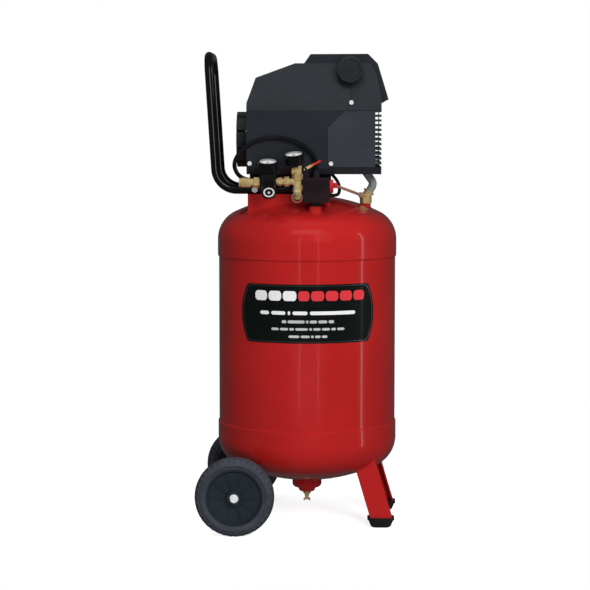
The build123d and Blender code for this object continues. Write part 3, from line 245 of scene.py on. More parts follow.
def shroud_finish():
    """Grained shroud plastic, with painted light: the raised panel painted a shade lighter for the light
    that it catches, and pale painted highlight lines along its left and slanted edges.
    """
    panel_left, edge_highlight_width = 49.6, 1.6
    panel_front, panel_step = -128.0, 1.5
    slant_degrees, slant_edge, slant_width = -45.8, -602.1, 1.3
    # painted highlight: this pale line stands in for the light caught on the panel's rounded edges
    painted_edge_highlight = (0.20, 0.21, 0.23)
    n = Nodes("shroud_plastic")
    flow = n.noise(7.0, 5.0, stretch=(1, 1, 2.2))
    body = n.ramp(flow, [(0.32, (0.0130, 0.0165, 0.0200)), (0.68, (0.0175, 0.0215, 0.0260))])
    # painted light: the raised panel is the same plastic as the body, painted lighter in place of the light
    # that it catches
    panel = n.ramp(flow, [(0.32, (0.0260, 0.0290, 0.0370)), (0.68, (0.0340, 0.0370, 0.0460))])
    place = n.add("ShaderNodeSeparateXYZ", Vector=n.coords).outputs
    turn = (0.0, math.radians(slant_degrees), 0.0)
    leaning = n.add("ShaderNodeMapping", Vector=n.coords, Rotation=turn).outputs["Vector"]
    slant = n.add("ShaderNodeSeparateXYZ", Vector=leaning).outputs["X"]
    left = panel_left * MM + TANK_X
    # masks for the painted highlight lines at the panel's left edge and at its slanted edge, mixed into the
    # panel's tone below
    at_left = n.remap(place["X"], 0.85, 0.0, left, left + edge_highlight_width * MM)
    at_slant = n.remap(slant, 0.6, 0.0, slant_edge * MM, (slant_edge + slant_width) * MM)
    panel = n.mix(at_left, panel, painted_edge_highlight)
    panel = n.mix(at_slant, panel, painted_edge_highlight)
    # mask for the raised panel, where its painted lighter tone goes
    raised = n.remap(place["Y"], 1.0, 0.0, panel_front * MM, (panel_front + panel_step) * MM)
    tone = n.mix(raised, body, panel)
    n.colour(n.mix(n.upward(0.012, 0.6), tone, (0.30, 0.30, 0.30)))
    n.roughness(n.remap(n.noise(60.0, 4.0), 0.30, 0.40))
    n.bump(n.cells(1100.0), 0.12, 0.0003)
    n.bump(n.noise(30.0, 3.0), 0.04, 0.001)
    return n.set(Specular_IOR_Level=0.5, Coat_Weight=0.1)


def rubber(name, dark, light, rough, dust):
    """Moulded rubber: matte, with bloom and ground-in dust."""
    n = Nodes(name)
    bloom = n.ramp(n.noise(26.0, 6.0, 0.7), [(0.38, dark), (0.72, light)])
    dirt = n.remap(n.noise(70.0, 5.0), 0.0, dust, 0.5, 0.8)
    n.colour(n.mix(dirt, bloom, (0.20, 0.18, 0.16)))
    n.roughness(n.remap(n.noise(45.0, 4.0), rough[0], rough[1]))
    n.bump(n.noise(700.0, 3.0), 0.25, 0.0003)
    n.bump(n.noise(90.0, 3.0), 0.08, 0.0006)
    return n.set(Specular_IOR_Level=0.45)


def metal(name, dark, light, rough, stretch=(1, 1, 1), grain=500.0, depth=0.1, stain=None, metallic=1.0):
    """Bare or plated metal: drawn or turned grain, with optional staining."""
    n = Nodes(name)
    tone = n.ramp(n.noise(55.0, 5.0, stretch=stretch), [(0.3, dark), (0.7, light)])
    if stain:
        tone = n.mix(n.remap(n.noise(95.0, 5.0, 0.65), 0.0, 0.7, 0.52, 0.72), tone, stain)
    n.colour(tone)
    n.roughness(n.remap(n.noise(130.0, 5.0, stretch=stretch), rough[0], rough[1]))
    n.bump(n.noise(grain, 3.0, stretch=stretch), depth, 0.0003)
    return n.set(Metallic=metallic)


def cast(name, dark, light):
    """Die-cast aluminium: pebbled skin with darker hollows."""
    n = Nodes(name)
    pits = n.noise(240.0, 4.0, 0.6)
    n.colour(n.ramp(pits, [(0.3, dark), (0.62, light)]))
    n.roughness(n.remap(n.noise(60.0, 4.0), 0.42, 0.6))
    n.bump(pits, 0.5, 0.0005)
    return n.set(Metallic=0.9)


def ground_finish():
    """The pale studio floor, bright enough to run into the white behind it."""
    n = Nodes("floor_pale")
    n.colour(n.ramp(n.noise(0.8, 4.0), [(0.3, (0.93, 0.93, 0.925)), (0.7, (0.95, 0.95, 0.95))]))
    n.roughness(n.remap(n.noise(3.0, 3.0), 0.75, 0.85))
    n.bump(n.noise(220.0, 3.0), 0.03, 0.0005)
    return n.set(Specular_IOR_Level=0.2, Emission_Color=(1.0, 1.0, 1.0, 1.0), Emission_Strength=0.8)


def lever_finish():
    """Brass-yellow at the pivot running to a red dipped tip."""
    n = Nodes("lever_metal")
    brass_end, dip_start = 6.0, 18.0
    x = n.add("ShaderNodeSeparateXYZ", Vector=n.coords).outputs["X"]
    along = n.remap(x, 0.0, 1.0, brass_end * MM + TANK_X, dip_start * MM + TANK_X)
    worn = n.ramp(n.noise(300.0, 4.0), [(0.3, (0.60, 0.44, 0.20)), (0.7, (0.74, 0.57, 0.28))])
    dipped = n.ramp(n.noise(160.0, 4.0), [(0.3, (0.55, 0.02, 0.02)), (0.7, (0.68, 0.05, 0.04))])
    n.colour(n.mix(along, worn, dipped))
    n.roughness(n.remap(n.noise(220.0, 4.0), 0.25, 0.4))
    n.bump(n.noise(400.0, 3.0), 0.1, 0.0003)
    return n.set(Metallic=0.25)


def dial_finish():
    """Off-white enamel on the gauges' dials."""
    n = Nodes("dial_white")
    n.colour(n.ramp(n.noise(120.0, 4.0), [(0.3, (0.88, 0.88, 0.87)), (0.7, (0.94, 0.94, 0.93))]))
    n.roughness(n.remap(n.noise(200.0, 3.0), 0.45, 0.55))
    n.bump(n.noise(900.0, 2.0), 0.05, 0.0001)
    return n.set(Specular_IOR_Level=0.4)


def felt_finish():
    """The intake filter's fibres."""
    n = Nodes("filter_felt")
    n.colour(n.ramp(n.noise(300.0, 6.0, 0.7), [(0.3, (0.55, 0.54, 0.50)), (0.7, (0.78, 0.77, 0.73))]))
    n.roughness(n.remap(n.noise(400.0, 3.0), 0.85, 0.95))
    n.bump(n.noise(900.0, 4.0), 0.8, 0.0006)
    return n.set(Sheen_Weight=0.4)


def lens_finish():
    """A gauge's clear window, nearly all see-through, with a polished skin."""
    n = Nodes("lens")
    n.colour(n.ramp(n.noise(60.0, 3.0), [(0.3, (0.96, 0.97, 0.97)), (0.7, (1.0, 1.0, 1.0))]))
    n.roughness(n.remap(n.noise(90.0, 4.0), 0.02, 0.06))
    n.bump(n.noise(40.0, 2.0), 0.02, 0.0003)
    return n.set(Alpha=0.16)


def winding_finish():
    """Varnished copper wire, lying side by side."""
    n = Nodes("copper_winding")
    wires = n.add("ShaderNodeTexWave", Vector=n.coords, Scale=260.0, Distortion=2.5).outputs["Fac"]
    n.colour(n.ramp(wires, [(0.2, (0.28, 0.10, 0.04)), (0.8, (0.70, 0.31, 0.14))]))
    n.roughness(n.remap(n.noise(120.0, 3.0), 0.3, 0.5))
    n.bump(wires, 0.7, 0.0008)
    return n.set(Metallic=0.7, Coat_Weight=0.4)


# Each table's rows start with a dark tone, a light tone and a range of roughness, in the builder's order.
PAINTED = {  # then clear coat, orange peel and dust
    "red_paint": ((0.39, 0.0115, 0.0110), (0.44, 0.0140, 0.0135)),
    "label": ((0.0030, 0.0045, 0.0040), (0.0045, 0.0065, 0.0058), (0.30, 0.40), 0.10, 0.04, 0.002),
    "handle_paint": ((0.0030, 0.0030, 0.0032), (0.0050, 0.0050, 0.0053), (0.10, 0.18), 0.6, 0.05, 0.003),
    "base_paint": ((0.007, 0.009, 0.014), (0.012, 0.014, 0.021), (0.3, 0.4), 0.2, 0.08, 0.01),
    "motor_paint": ((0.020, 0.021, 0.022), (0.034, 0.035, 0.036), (0.35, 0.5), 0.1),
    "regulator_black": ((0.0045, 0.0045, 0.005), (0.008, 0.008, 0.009), (0.28, 0.4), 0.2, 0.1, 0.004),
    "gauge_case": ((0.003, 0.003, 0.0035), (0.006, 0.006, 0.0065), (0.2, 0.3), 0.3, 0.06, 0.003),
    "needle": ((0.010, 0.010, 0.010), (0.022, 0.020, 0.020), (0.4, 0.5), 0.0, 0.02, 0.0),
    "white_ink": ((0.74, 0.74, 0.73), (0.84, 0.84, 0.83), (0.3, 0.4), 0.1, 0.02, 0.0),
    "grey_ink": ((0.42, 0.43, 0.44), (0.55, 0.56, 0.57), (0.3, 0.4), 0.1, 0.02, 0.0),
    "red_ink": ((0.58, 0.030, 0.040), (0.70, 0.045, 0.055), (0.3, 0.4), 0.1, 0.02, 0.0),
    "black_ink": ((0.010, 0.010, 0.010), (0.020, 0.020, 0.020), (0.4, 0.5), 0.0, 0.02, 0.0),
}
MOULDED = {  # then grain scale, grain depth and dust
    "hub_plastic": ((0.012, 0.017, 0.022), (0.018, 0.025, 0.032), (0.40, 0.52), 700.0, 0.2, 0.02),
    "fan_plastic": ((0.030, 0.031, 0.033), (0.052, 0.053, 0.056)),
    "cap_plastic": ((0.011, 0.013, 0.016), (0.022, 0.024, 0.029), (0.28, 0.40), 800.0, 0.2, 0.02),
    "switch_metal": ((0.012, 0.006, 0.008), (0.019, 0.010, 0.013), (0.35, 0.5), 900.0, 0.2, 0.01),
    "switch_plastic": ((0.010, 0.0045, 0.007), (0.016, 0.008, 0.011), (0.30, 0.42), 900.0, 0.15, 0.006),
    "red_cap": ((0.36, 0.014, 0.018), (0.50, 0.028, 0.030), (0.3, 0.42)),
    "knob_plastic": ((0.004, 0.004, 0.0045), (0.008, 0.008, 0.009), (0.3, 0.42), 900.0, 0.15, 0.004),
    "gland_plastic": ((0.009, 0.009, 0.010), (0.016, 0.016, 0.018)),
}
RUBBER = {  # then dust
    "tyre_rubber": ((0.036, 0.041, 0.052), (0.058, 0.065, 0.082), (0.42, 0.58), 0.05),
    "black_rubber": ((0.010, 0.009, 0.009), (0.020, 0.018, 0.018), (0.45, 0.62), 0.04),
    "lead_jacket": ((0.0035, 0.0035, 0.004), (0.007, 0.007, 0.008), (0.34, 0.48), 0.01),
}
METAL = {  # then stretch of the grain, grain scale and grain depth
    "laminated_steel": ((0.26, 0.26, 0.27), (0.48, 0.48, 0.49), (0.35, 0.5), (60, 1, 1), 40.0, 0.4),
    "shaft_steel": ((0.52, 0.53, 0.54), (0.68, 0.69, 0.70), (0.15, 0.28), (8, 1, 1)),
    "spring_steel": ((0.36, 0.37, 0.39), (0.52, 0.53, 0.55), (0.25, 0.4)),
    "rod_aluminium": ((0.55, 0.56, 0.57), (0.70, 0.71, 0.72), (0.3, 0.45)),
    "silver_ink": ((0.42, 0.43, 0.44), (0.60, 0.61, 0.62), (0.3, 0.45)),
}
STAINED_METAL = {  # then stain and how metallic it looks
    "zinc_steel": ((0.76, 0.78, 0.79), (0.93, 0.94, 0.94), (0.25, 0.42), (0.74, 0.72, 0.66), 0.15),
    "brass": ((0.50, 0.34, 0.13), (0.86, 0.66, 0.34), (0.16, 0.30), (0.34, 0.19, 0.08), 0.45),
    "aluminium_tube": ((0.30, 0.35, 0.33), (0.46, 0.52, 0.50), (0.3, 0.45), None, 0.4),
    "copper_tube": ((0.52, 0.26, 0.20), (0.74, 0.46, 0.38), (0.22, 0.36), (0.40, 0.20, 0.15), 0.4),
    "ring_steel": ((0.42, 0.28, 0.20), (0.62, 0.47, 0.36), (0.12, 0.25), None, 0.6),
}


def make_finishes():
    """Every material, by the name of its slot or ink."""
    finishes = {}
    for builder, table in ((paint, PAINTED), (moulded, MOULDED), (rubber, RUBBER), (metal, METAL)):
        for name, values in table.items():
            finishes[name] = builder(name, *values)
    for name, (dark, light, rough, stain, metallic) in STAINED_METAL.items():
        finishes[name] = metal(name, dark, light, rough, stain=stain, metallic=metallic)
    finishes["shroud_plastic"] = shroud_finish()
    finishes["cast_aluminium"] = cast("cast_aluminium", (0.36, 0.36, 0.37), (0.62, 0.62, 0.63))
    finishes["filter_felt"] = felt_finish()
    finishes["lever_metal"] = lever_finish()
    finishes["dial_white"] = dial_finish()
    finishes["lens"] = lens_finish()
    finishes["copper_winding"] = winding_finish()
    return finishes


FINISH = make_finishes()


def dress_cad_nodes():
    """Give each carried-over node the finish of its material slot."""
    for entry in frame["record"]["subparts"]:
        node = frame["nodes"][entry["node"]]
        node.data.materials.clear()
        node.data.materials.append(FINISH[entry["material_slot"]])


dress_cad_nodes()


# ---------------------------------------------------------------- making pieces
def add_object(name, data, material, body="frame"):
    """Link a new piece, finished in one material and riding on a body."""
    piece = bpy.data.objects.new(name, data)
    bpy.context.scene.collection.objects.link(piece)
    data.materials.append(material)
    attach(piece, body)
    return piece


def mesh_piece(name, verts, faces, material, body="frame", smooth=True):
    """A piece from its corners, in metres, and its faces."""
    data = bpy.data.meshes.new(name)
    data.from_pydata([tuple(v) for v in verts], [], faces)
    data.polygons.foreach_set("use_smooth", [smooth] * len(data.polygons))
    data.update()
    return add_object(name, data, material, body)


def ring_faces(rings, sides, closed=True):
    """Four-sided faces between rings of corners, with the last ring joined to the first where closed."""
    faces = []
    for i in range(rings if closed else rings - 1):
        for j in range(sides):
            this_ring, next_ring = i * sides, ((i + 1) % rings) * sides
            after = (j + 1) % sides
            faces.append((this_ring + j, this_ring + after, next_ring + after, next_ring + j))
    return faces


# ---------------------------------------------------------------- leads
MOTOR_LEAD_R = 0.00475
PUMP_LEAD_R = 0.00375
MOTOR_LEAD = [
    (22.0, -134.0, 812.0),
    (22.0, -134.0, 836.0),
    (4.0, -134.5, 860.0),
    (-27.0, -134.5, 878.0),
    (-70.0, -134.0, 887.0),
    (-112.0, -134.5, 879.0),
    (-144.0, -135.5, 859.0),
    (-163.0, -137.0, 829.0),
    (-154.0, -133.0, 801.0),
    (-130.0, -117.0, 789.0),
    (-108.0, -92.0, 795.0),
    (-100.0, -70.0, 813.0),
    (-100.0, -55.8, 824.2),
]
PUMP_LEAD = [
    (57.0, -138.0, 756.5),
    (65.0, -138.0, 756.5),
    (71.5, -133.0, 759.0),
    (74.0, -122.0, 763.5),
    (74.5, -112.0, 771.5),
    (72.5, -106.5, 782.5),
    (66.5, -104.0, 792.0),
    (60.0, -100.0, 799.5),
    (55.0, -89.0, 806.5),
    (52.0, -76.0, 813.5),
]


def lead(name, node, route, radius):
    """A jacketed lead on a smooth curve between its two glands; its radius is in metres."""
    data = bpy.data.curves.new(name, "CURVE")
    data.dimensions = "3D"
    data.bevel_depth = radius
    data.bevel_resolution = 6
    data.resolution_u = 14
    data.use_fill_caps = True
    spline = data.splines.new("NURBS")
    spline.points.add(len(route) - 1)
    for point, place in zip(spline.points, route):
        point.co = (*at(*place), 1.0)
    spline.order_u = 3
    spline.use_endpoint_u = True
    piece = add_object(name, data, FINISH["lead_jacket"], "frame")
    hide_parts(node)


lead("motor_lead_jacket", "motor_lead", MOTOR_LEAD, MOTOR_LEAD_R)
lead("pump_lead_jacket", "pump_lead", PUMP_LEAD, PUMP_LEAD_R)


# ---------------------------------------------------------------- tyres
TYRE_HALF_SECTION = [
    (-17.0, 64.0), (-18.2, 67.0), (-18.6, 69.5), (-19.4, 70.8), (-21.2, 71.6), (-21.5, 73.4),
    (-21.2, 75.4), (-19.6, 76.2), (-19.0, 77.6), (-18.6, 79.6), (-17.6, 82.4), (-15.6, 85.0),
    (-13.0, 86.9), (-9.0, 88.2), (-5.2, 88.6), (-4.6, 87.2), (-1.6, 87.2), (-1.0, 88.8),
]
TYRE_SECTION = TYRE_HALF_SECTION + [(-y, radius) for y, radius in reversed(TYRE_HALF_SECTION)]
TREAD_BLOCKS = 38
STEPS_PER_BLOCK = 8
GROOVE_STEPS_NEAR = (0, 1)
GROOVE_STEPS_FAR = (4, 5)  # half a block round from the near side's
GROOVE_DEPTH = 2.8
GROOVE_BOTTOM_R = 79.0
GROOVE_RUN_OUT = 4.0
CENTRE_BAND_HALF_W = 7.0


def tyre(side, body, node):
    """A solid tyre with shoulder blocks cut between narrow grooves."""
    total = TREAD_BLOCKS * STEPS_PER_BLOCK
    verts = []
    for i in range(total):
        angle = 2 * math.pi * (i + 0.5) / total
        for y, radius in TYRE_SECTION:
            grooves = GROOVE_STEPS_NEAR if y < 0 else GROOVE_STEPS_FAR
            on_shoulder = CENTRE_BAND_HALF_W < abs(y) and radius > GROOVE_BOTTOM_R
            if on_shoulder and i % STEPS_PER_BLOCK in grooves:
                radius -= GROOVE_DEPTH * min(1.0, (radius - GROOVE_BOTTOM_R) / GROOVE_RUN_OUT)
            across, up = radius * math.sin(angle), radius * math.cos(angle)
            verts.append(at(WHEEL_X + across, side * WHEEL_Y + y, WHEEL_Z + up))
    faces = ring_faces(total, len(TYRE_SECTION))
    piece = mesh_piece(f"{body}_tyre", verts, faces, FINISH["tyre_rubber"], body)
    edges = piece.modifiers.new("edges", "BEVEL")
    edges.width = 0.0004
    edges.segments = 2
    edges.limit_method = "ANGLE"
    edges.angle_limit = math.radians(32)
    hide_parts(node)


tyre(-1, "front_wheel", "wheel_tyre_front")
tyre(1, "rear_wheel", "wheel_tyre_rear")


# ---------------------------------------------------------------- label artwork
def on_shell(x, z, lift=0.6):
    """A point on the label's surface, from millimetres across and up from its middle."""
    radius = SHELL_R + lift
    y = -math.sqrt(radius * radius - x * x)
    turn = math.radians(LABEL_TURN)
    cos, sin = math.cos(turn), math.sin(turn)
    return at(x * cos - y * sin, x * sin + y * cos, LABEL_Z + z)


def rounded_corner(a, b, c, steps=6):
    """Points on a smooth turn from a to c, drawn towards the sharp corner b."""
    points = []
    for i in range(steps + 1):
        t = i / steps
        points.append(tuple((1 - t) ** 2 * a[k] + 2 * t * (1 - t) * b[k] + t * t * c[k] for k in (0, 1)))
    return points


def plate_edge(inset, side_steps=24, top_steps=60):
    """Points round the label's outline, pulled in by an inset: level top and bottom, and bowed sides."""
    half = LABEL_HALF_H - inset
    bow = LABEL_HALF_W - LABEL_CORNER_W
    bow_radius = (LABEL_HALF_H**2 + bow**2) / (2 * bow)
    middle = LABEL_HALF_W - bow_radius
    bow_radius -= inset
    reach = middle + math.sqrt(bow_radius**2 - half * half)
    span = math.asin(half / bow_radius)
    cut = max(3.0, 9.0 - inset)
    angles = [span * (1 - 2 * i / side_steps) for i in range(side_steps + 1)]
    right = [(middle + bow_radius * math.cos(a), bow_radius * math.sin(a)) for a in angles]
    right = [p for p in right if abs(p[1]) < half - cut]
    top_right = rounded_corner((reach - cut, half), (reach, half), right[0])
    low_right = [(x, -z) for x, z in reversed(top_right)]
    run = reach - cut
    top = [(-run + 2 * run * i / top_steps, half) for i in range(1, top_steps)]
    low = [(x, -z) for x, z in reversed(top)]
    low_left = [(-x, z) for x, z in reversed(low_right)]
    top_left = [(-x, z) for x, z in reversed(top_right)]
    left = [(-x, z) for x, z in reversed(right[1:-1])]
    return top + top_right + right[1:-1] + low_right + low + low_left + left + top_left


def label_border():
    """The thin silver line just inside the label's edge."""
    outer, inner = plate_edge(2.6), plate_edge(3.9)
    count = min(len(outer), len(inner))
    verts = [on_shell(*p) for p in outer[:count]] + [on_shell(*p) for p in inner[:count]]
    faces = [(i, (i + 1) % count, count + (i + 1) % count, count + i) for i in range(count)]
    mesh_piece("label_border", verts, faces, FINISH["silver_ink"])


def bars(name, rows, material):
    """Rounded bars printed on the label, each (left, right, low, high) in millimetres."""
    verts, faces = [], []
    for left, right, low, high in rows:
        soft = min(high - low, right - left) * 0.3
        count = max(8, int((right - left) / 2.5))
        base = len(verts)
        for i in range(count + 1):
            x = left + (right - left) * i / count
            pull = max(0.0, soft - min(x - left, right - x))
            drop = soft - math.sqrt(max(0.0, soft * soft - pull * pull))
            verts += [on_shell(x, low + drop), on_shell(x, high - drop)]
        for i in range(base, base + 2 * count, 2):
            faces.append((i, i + 2, i + 3, i + 1))
    mesh_piece(name, verts, faces, material)


def word_row(widths, gap, low, high, centre=0.0):
    """Bars of the given widths, side by side about a centre, from a low to a high line."""
    total = sum(widths) + gap * (len(widths) - 1)
    x = centre - total / 2
    row = []
    for width in widths:
        row.append((x, x + width, low, high))
        x += width + gap
    return row


def label_art():
    """Plain bars in place of the words: a title in two colours, a line in white and three in grey."""
    label_border()
    white, red, grey = FINISH["white_ink"], FINISH["red_ink"], FINISH["grey_ink"]
    bars("label_title_white", word_row([26, 28, 30], 3.5, 29, 51, -71), white)
    bars("label_title_red", word_row([25, 29, 28, 27, 24], 3.5, 29, 51, 52), red)
    bars("label_line_1", word_row([19, 31, 5, 33, 101], 5.5, -2.0, 6.0), white)
    bars("label_line_2", word_row([10, 38, 5, 16, 20, 12], 3, -20.5, -14.0), grey)
    bars("label_line_3", word_row([16, 18, 10, 28, 6, 16, 18, 10, 16], 3, -36.5, -31.0), grey)
    bars("label_line_4", word_row([24, 20, 6, 12, 12], 3, -53.0, -47.5), grey)


label_art()


# ---------------------------------------------------------------- welds
def low_head_z(x, y):
    """Height of the bottom head's outer face at a place from the tank's axis."""
    r = math.hypot(x, y)
    join = (HEAD_R - KNUCKLE_R) * CROWN_R / (CROWN_R - KNUCKLE_R)
    if r < join:
        return LOW_CROWN_Z + CROWN_R - math.sqrt(CROWN_R**2 - r**2)
    out = min(KNUCKLE_R, r - (HEAD_R - KNUCKLE_R))
    return LOW_CROWN_Z + HEAD_RISE - math.sqrt(max(0.0, KNUCKLE_R**2 - out**2))


def high_head_z(x, y):
    """Height of the top head's outer face, which mirrors the bottom one."""
    return LOW_CROWN_Z + HIGH_CROWN_Z - low_head_z(x, y)


def weld(name, path, radius, closed=False):
    """A rippled bead along a path of row-frame points, tapered at its ends where it isn't closed."""
    ripple, ripple_steps, taper_steps, sides = 2.4, 4, 4, 8
    points = [Vector(p) for p in path]
    dense = []
    count = len(points)
    for i in range(count if closed else count - 1):
        a, b = points[i], points[(i + 1) % count]
        steps = max(1, int((b - a).length / (ripple * MM / ripple_steps)))
        dense += [a.lerp(b, k / steps) for k in range(steps)]
    if not closed:
        dense.append(points[-1])
    verts = []
    for i, here in enumerate(dense):
        before = dense[i - 1] if (i or closed) else here
        after = dense[(i + 1) % len(dense)] if (i + 1 < len(dense) or closed) else here
        tangent = (after - before).normalized()
        side = tangent.cross(Vector((0, 0, 1)))
        side = side.normalized() if side.length > 0.05 else tangent.orthogonal().normalized()
        up = side.cross(tangent)
        phase = (i % ripple_steps) / ripple_steps
        size = radius * MM * (0.84 + 0.16 * math.cos(2 * math.pi * phase))
        if not closed:
            from_end = min(i, len(dense) - 1 - i)
            size *= 0.35 + 0.65 * min(1.0, from_end / taper_steps)
        for k in range(sides):
            angle = 2 * math.pi * k / sides
            verts.append(here + side * size * math.cos(angle) + up * size * math.sin(angle))
    faces = ring_faces(len(dense), sides, closed)
    mesh_piece(name, verts, faces, FINISH["red_paint"], "frame")


def leg_left(z):
    """The leaning leg's left side at a height."""
    return LEG_LEFT_X + (LEG_FOOT_Z - z) * LEG_LEAN


def leg_weld(side):
    """Round the top of a leg, where its channel meets the bottom head."""
    out, outer = 0.0, LEG_OUTER_Y
    if side > 0:
        out, outer = REAR_LEG_OUT, LEG_OUTER_Y - REAR_LEG_NEARER
    step = 3
    flange = range(0, int(LEG_DEPTH) + 1, step)
    places = [(0.0, outer - LEG_DEPTH + depth) for depth in flange]
    places += [(float(across), outer) for across in range(step, int(LEG_WIDTH), step)]
    places += [(LEG_WIDTH, outer - depth) for depth in flange]
    path = []
    for across, y in places:
        z = 130.0
        for _ in range(25):  # halfway steps to the height where the leaning side meets the head
            x = leg_left(z) + across + out
            z = 0.5 * z + 0.5 * min(195.0, low_head_z(x, y))
        if math.hypot(x, y) < HEAD_R - 1.0:
            path.append(at(x, side * y, z))
    return path


def ring_path(centre, radius, surface, steps=48):
    """A circle seen from above, laid on a curved surface."""
    path = []
    for i in range(steps):
        angle = 2 * math.pi * i / steps
        x, y = centre[0] + radius * math.cos(angle), centre[1] + radius * math.sin(angle)
        path.append(at(x, y, surface(x, y)))
    return path


def circle_path(radius, z, steps=180):
    """A level circle round the tank's axis."""
    angles = [2 * math.pi * i / steps for i in range(steps)]
    return [at(radius * math.cos(a), radius * math.sin(a), z) for a in angles]


def all_welds():
    """Beads at the legs, bungs, drain boss, lap seams, wheel gussets and pump saddle."""
    weld("leg_weld_front", leg_weld(-1), 2.0)
    weld("leg_weld_rear", leg_weld(1), 2.0)
    weld("bung_weld_switch", ring_path(SWITCH_BUNG, SWITCH_BUNG_WELD_R, high_head_z), 1.6, True)
    weld("bung_weld_valve", ring_path(VALVE_BUNG, VALVE_BUNG_WELD_R, high_head_z), 1.6, True)
    weld("drain_weld", ring_path(DRAIN_BOSS, DRAIN_WELD_R, low_head_z), 1.6, True)
    seam_r = SHELL_R + 0.5
    low_seam = LOW_CROWN_Z + HEAD_RISE + SEAM_IN
    high_seam = HIGH_CROWN_Z - HEAD_RISE - SEAM_IN
    weld("seam_weld_low", circle_path(seam_r, low_seam), 1.7, True)
    weld("seam_weld_high", circle_path(seam_r, high_seam), 1.7, True)
    gusset_y, skirt_y = 122.7, 105.9
    for side, name in ((-1, "front"), (1, "rear")):
        gusset = [at(x, side * gusset_y, low_head_z(x, gusset_y)) for x in range(-150, -98, 3)]
        weld(f"gusset_weld_{name}", gusset, 2.0)
        skirt = [at(x, side * skirt_y, high_head_z(x, skirt_y)) for x in range(-132, 55, 3)]
        weld(f"saddle_weld_{name}", skirt, 1.8)


all_welds()


# ---------------------------------------------------------------- gauges
GAUGES = {  # the stem's foot, the way the gauge leans and how far up the stem its case starts
    "tank": (Vector((-24.0, -165.0, 819.0)), Vector((-0.09, -0.28, 0.956)), 9.9),
    "line": (Vector((-84.0, -165.0, 808.5)), Vector((0.0, -0.29, 0.957)), 3.7),
}


def frame_on(origin, axis, across):
    """A millimetre frame at a point, with its height along an axis and its x along a direction across it."""
    turn = Matrix((across, axis.cross(across), axis)).transposed().to_4x4()
    return Matrix.Translation(at(*origin)) @ turn @ Matrix.Scale(MM, 4)


def gauge_frame(which):
    """The millimetre frame of a gauge, with its x towards the object's right."""
    stem, axis, lift = GAUGES[which]
    axis = axis.normalized()
    across = (Vector((1, 0, 0)) - axis * axis.x).normalized()
    return frame_on(stem + axis * lift, axis, across)


def dial_angle(share):
    """The direction of a mark, from its share of the scale."""
    return math.radians(DIAL_START - DIAL_SWEEP * share)


def tick(share, inner, outer, half):
    """The corners of one straight mark, half its thickness each side of its direction."""
    angle = dial_angle(share)
    c, s = math.cos(angle), math.sin(angle)
    corners = ((inner, -half), (outer, -half), (outer, half), (inner, half))
    return [(r * c - w * s, r * s + w * c) for r, w in corners]


def band(first, last, inner, outer, steps):
    """The corners of each short stretch of a curved band, between two shares of the scale."""
    stretches = []
    for i in range(steps):
        ends = [dial_angle(first + (last - first) * k / steps) for k in (i, i + 1)]
        (ca, sa), (cb, sb) = [(math.cos(a), math.sin(a)) for a in ends]
        first_side = [(inner * ca, inner * sa), (outer * ca, outer * sa)]
        stretches.append(first_side + [(outer * cb, outer * sb), (inner * cb, inner * sb)])
    return stretches


def dial_print(name, place, patches, material):
    """Flat four-cornered patches printed on a dial, as one piece."""
    verts = [place @ Vector((x, y, DIAL_FACE_Z)) for patch in patches for x, y in patch]
    faces = [tuple(range(i, i + 4)) for i in range(0, len(verts), 4)]
    mesh_piece(name, verts, faces, material, smooth=False)


def dial_number(name, place, number, share):
    """One upright number inside the marks."""
    text = bpy.data.curves.new("number", "FONT")
    text.body = str(number)
    text.size = 4.6
    text.align_x = text.align_y = "CENTER"
    holder = bpy.data.objects.new("number", text)
    mesh = bpy.data.meshes.new_from_object(holder)
    bpy.data.objects.remove(holder)
    radius, angle = 9.6, dial_angle(share)
    spot = (radius * math.cos(angle), radius * math.sin(angle), DIAL_FACE_Z)
    mesh.transform(place @ Matrix.Translation(spot))
    add_object(name, mesh, FINISH["black_ink"])


def dial_art(which):
    """A dial's marks, its numbers and the red zone at the top fifth of its scale."""
    place = gauge_frame(which)
    marks = []
    count = 40
    for i in range(count + 1):
        if i % 10 == 0:
            inner, half = 12.4, 0.42
        else:
            inner, half = 13.6 if i % 5 == 0 else 14.6, 0.2
        marks.append(tick(i / count, inner, 16.6, half))
    marks += band(0.0, 1.0, 16.9, 17.4, 60)
    dial_print(f"{which}_gauge_ticks", place, marks, FINISH["black_ink"])
    dial_print(f"{which}_gauge_red_zone", place, band(0.8, 1.0, 17.6, 18.6, 14), FINISH["red_ink"])
    for i in range(5):
        dial_number(f"{which}_gauge_number_{50 * i}", place, 50 * i, i / 4)


def lathe(name, place, section, slot, body="frame"):
    """A turned piece from (radius, height) points, closed on itself, in a millimetre frame."""
    steps = 96
    verts = []
    for i in range(steps):
        a = 2 * math.pi * i / steps
        verts += [place @ Vector((r * math.cos(a), r * math.sin(a), z)) for r, z in section]
    mesh_piece(name, verts, ring_faces(steps, len(section)), FINISH[slot], body)


def bezel(which):
    """The rolled ring that holds the lens, as (radius, height above the case) points."""
    section = [(18.9, -0.5), (19.0, 0.1), (19.6, 0.45), (20.4, 0.3), (21.0, -0.4),
               (21.05, -2.6), (20.9, -3.0), (20.6, -3.0), (20.6, -1.0), (19.2, -0.8)]
    section = [(radius, CASE_H + height) for radius, height in section]
    lathe(f"{which}_gauge_bezel", gauge_frame(which), section, "gauge_case")


for gauge in GAUGES:
    dial_art(gauge)
    bezel(gauge)


# ---------------------------------------------------------------- knob and windings
def knob_detail(name, section):
    """A plated turned detail in the regulator knob's face, as (radius, height above the face) points."""
    axis = Vector(KNOB_AXIS).normalized()
    place = frame_on(REGULATOR, axis, axis.orthogonal().normalized())
    section = [(radius, KNOB_FACE + height) for radius, height in section]
    lathe(name, place, section, "zinc_steel", "regulator_knob")


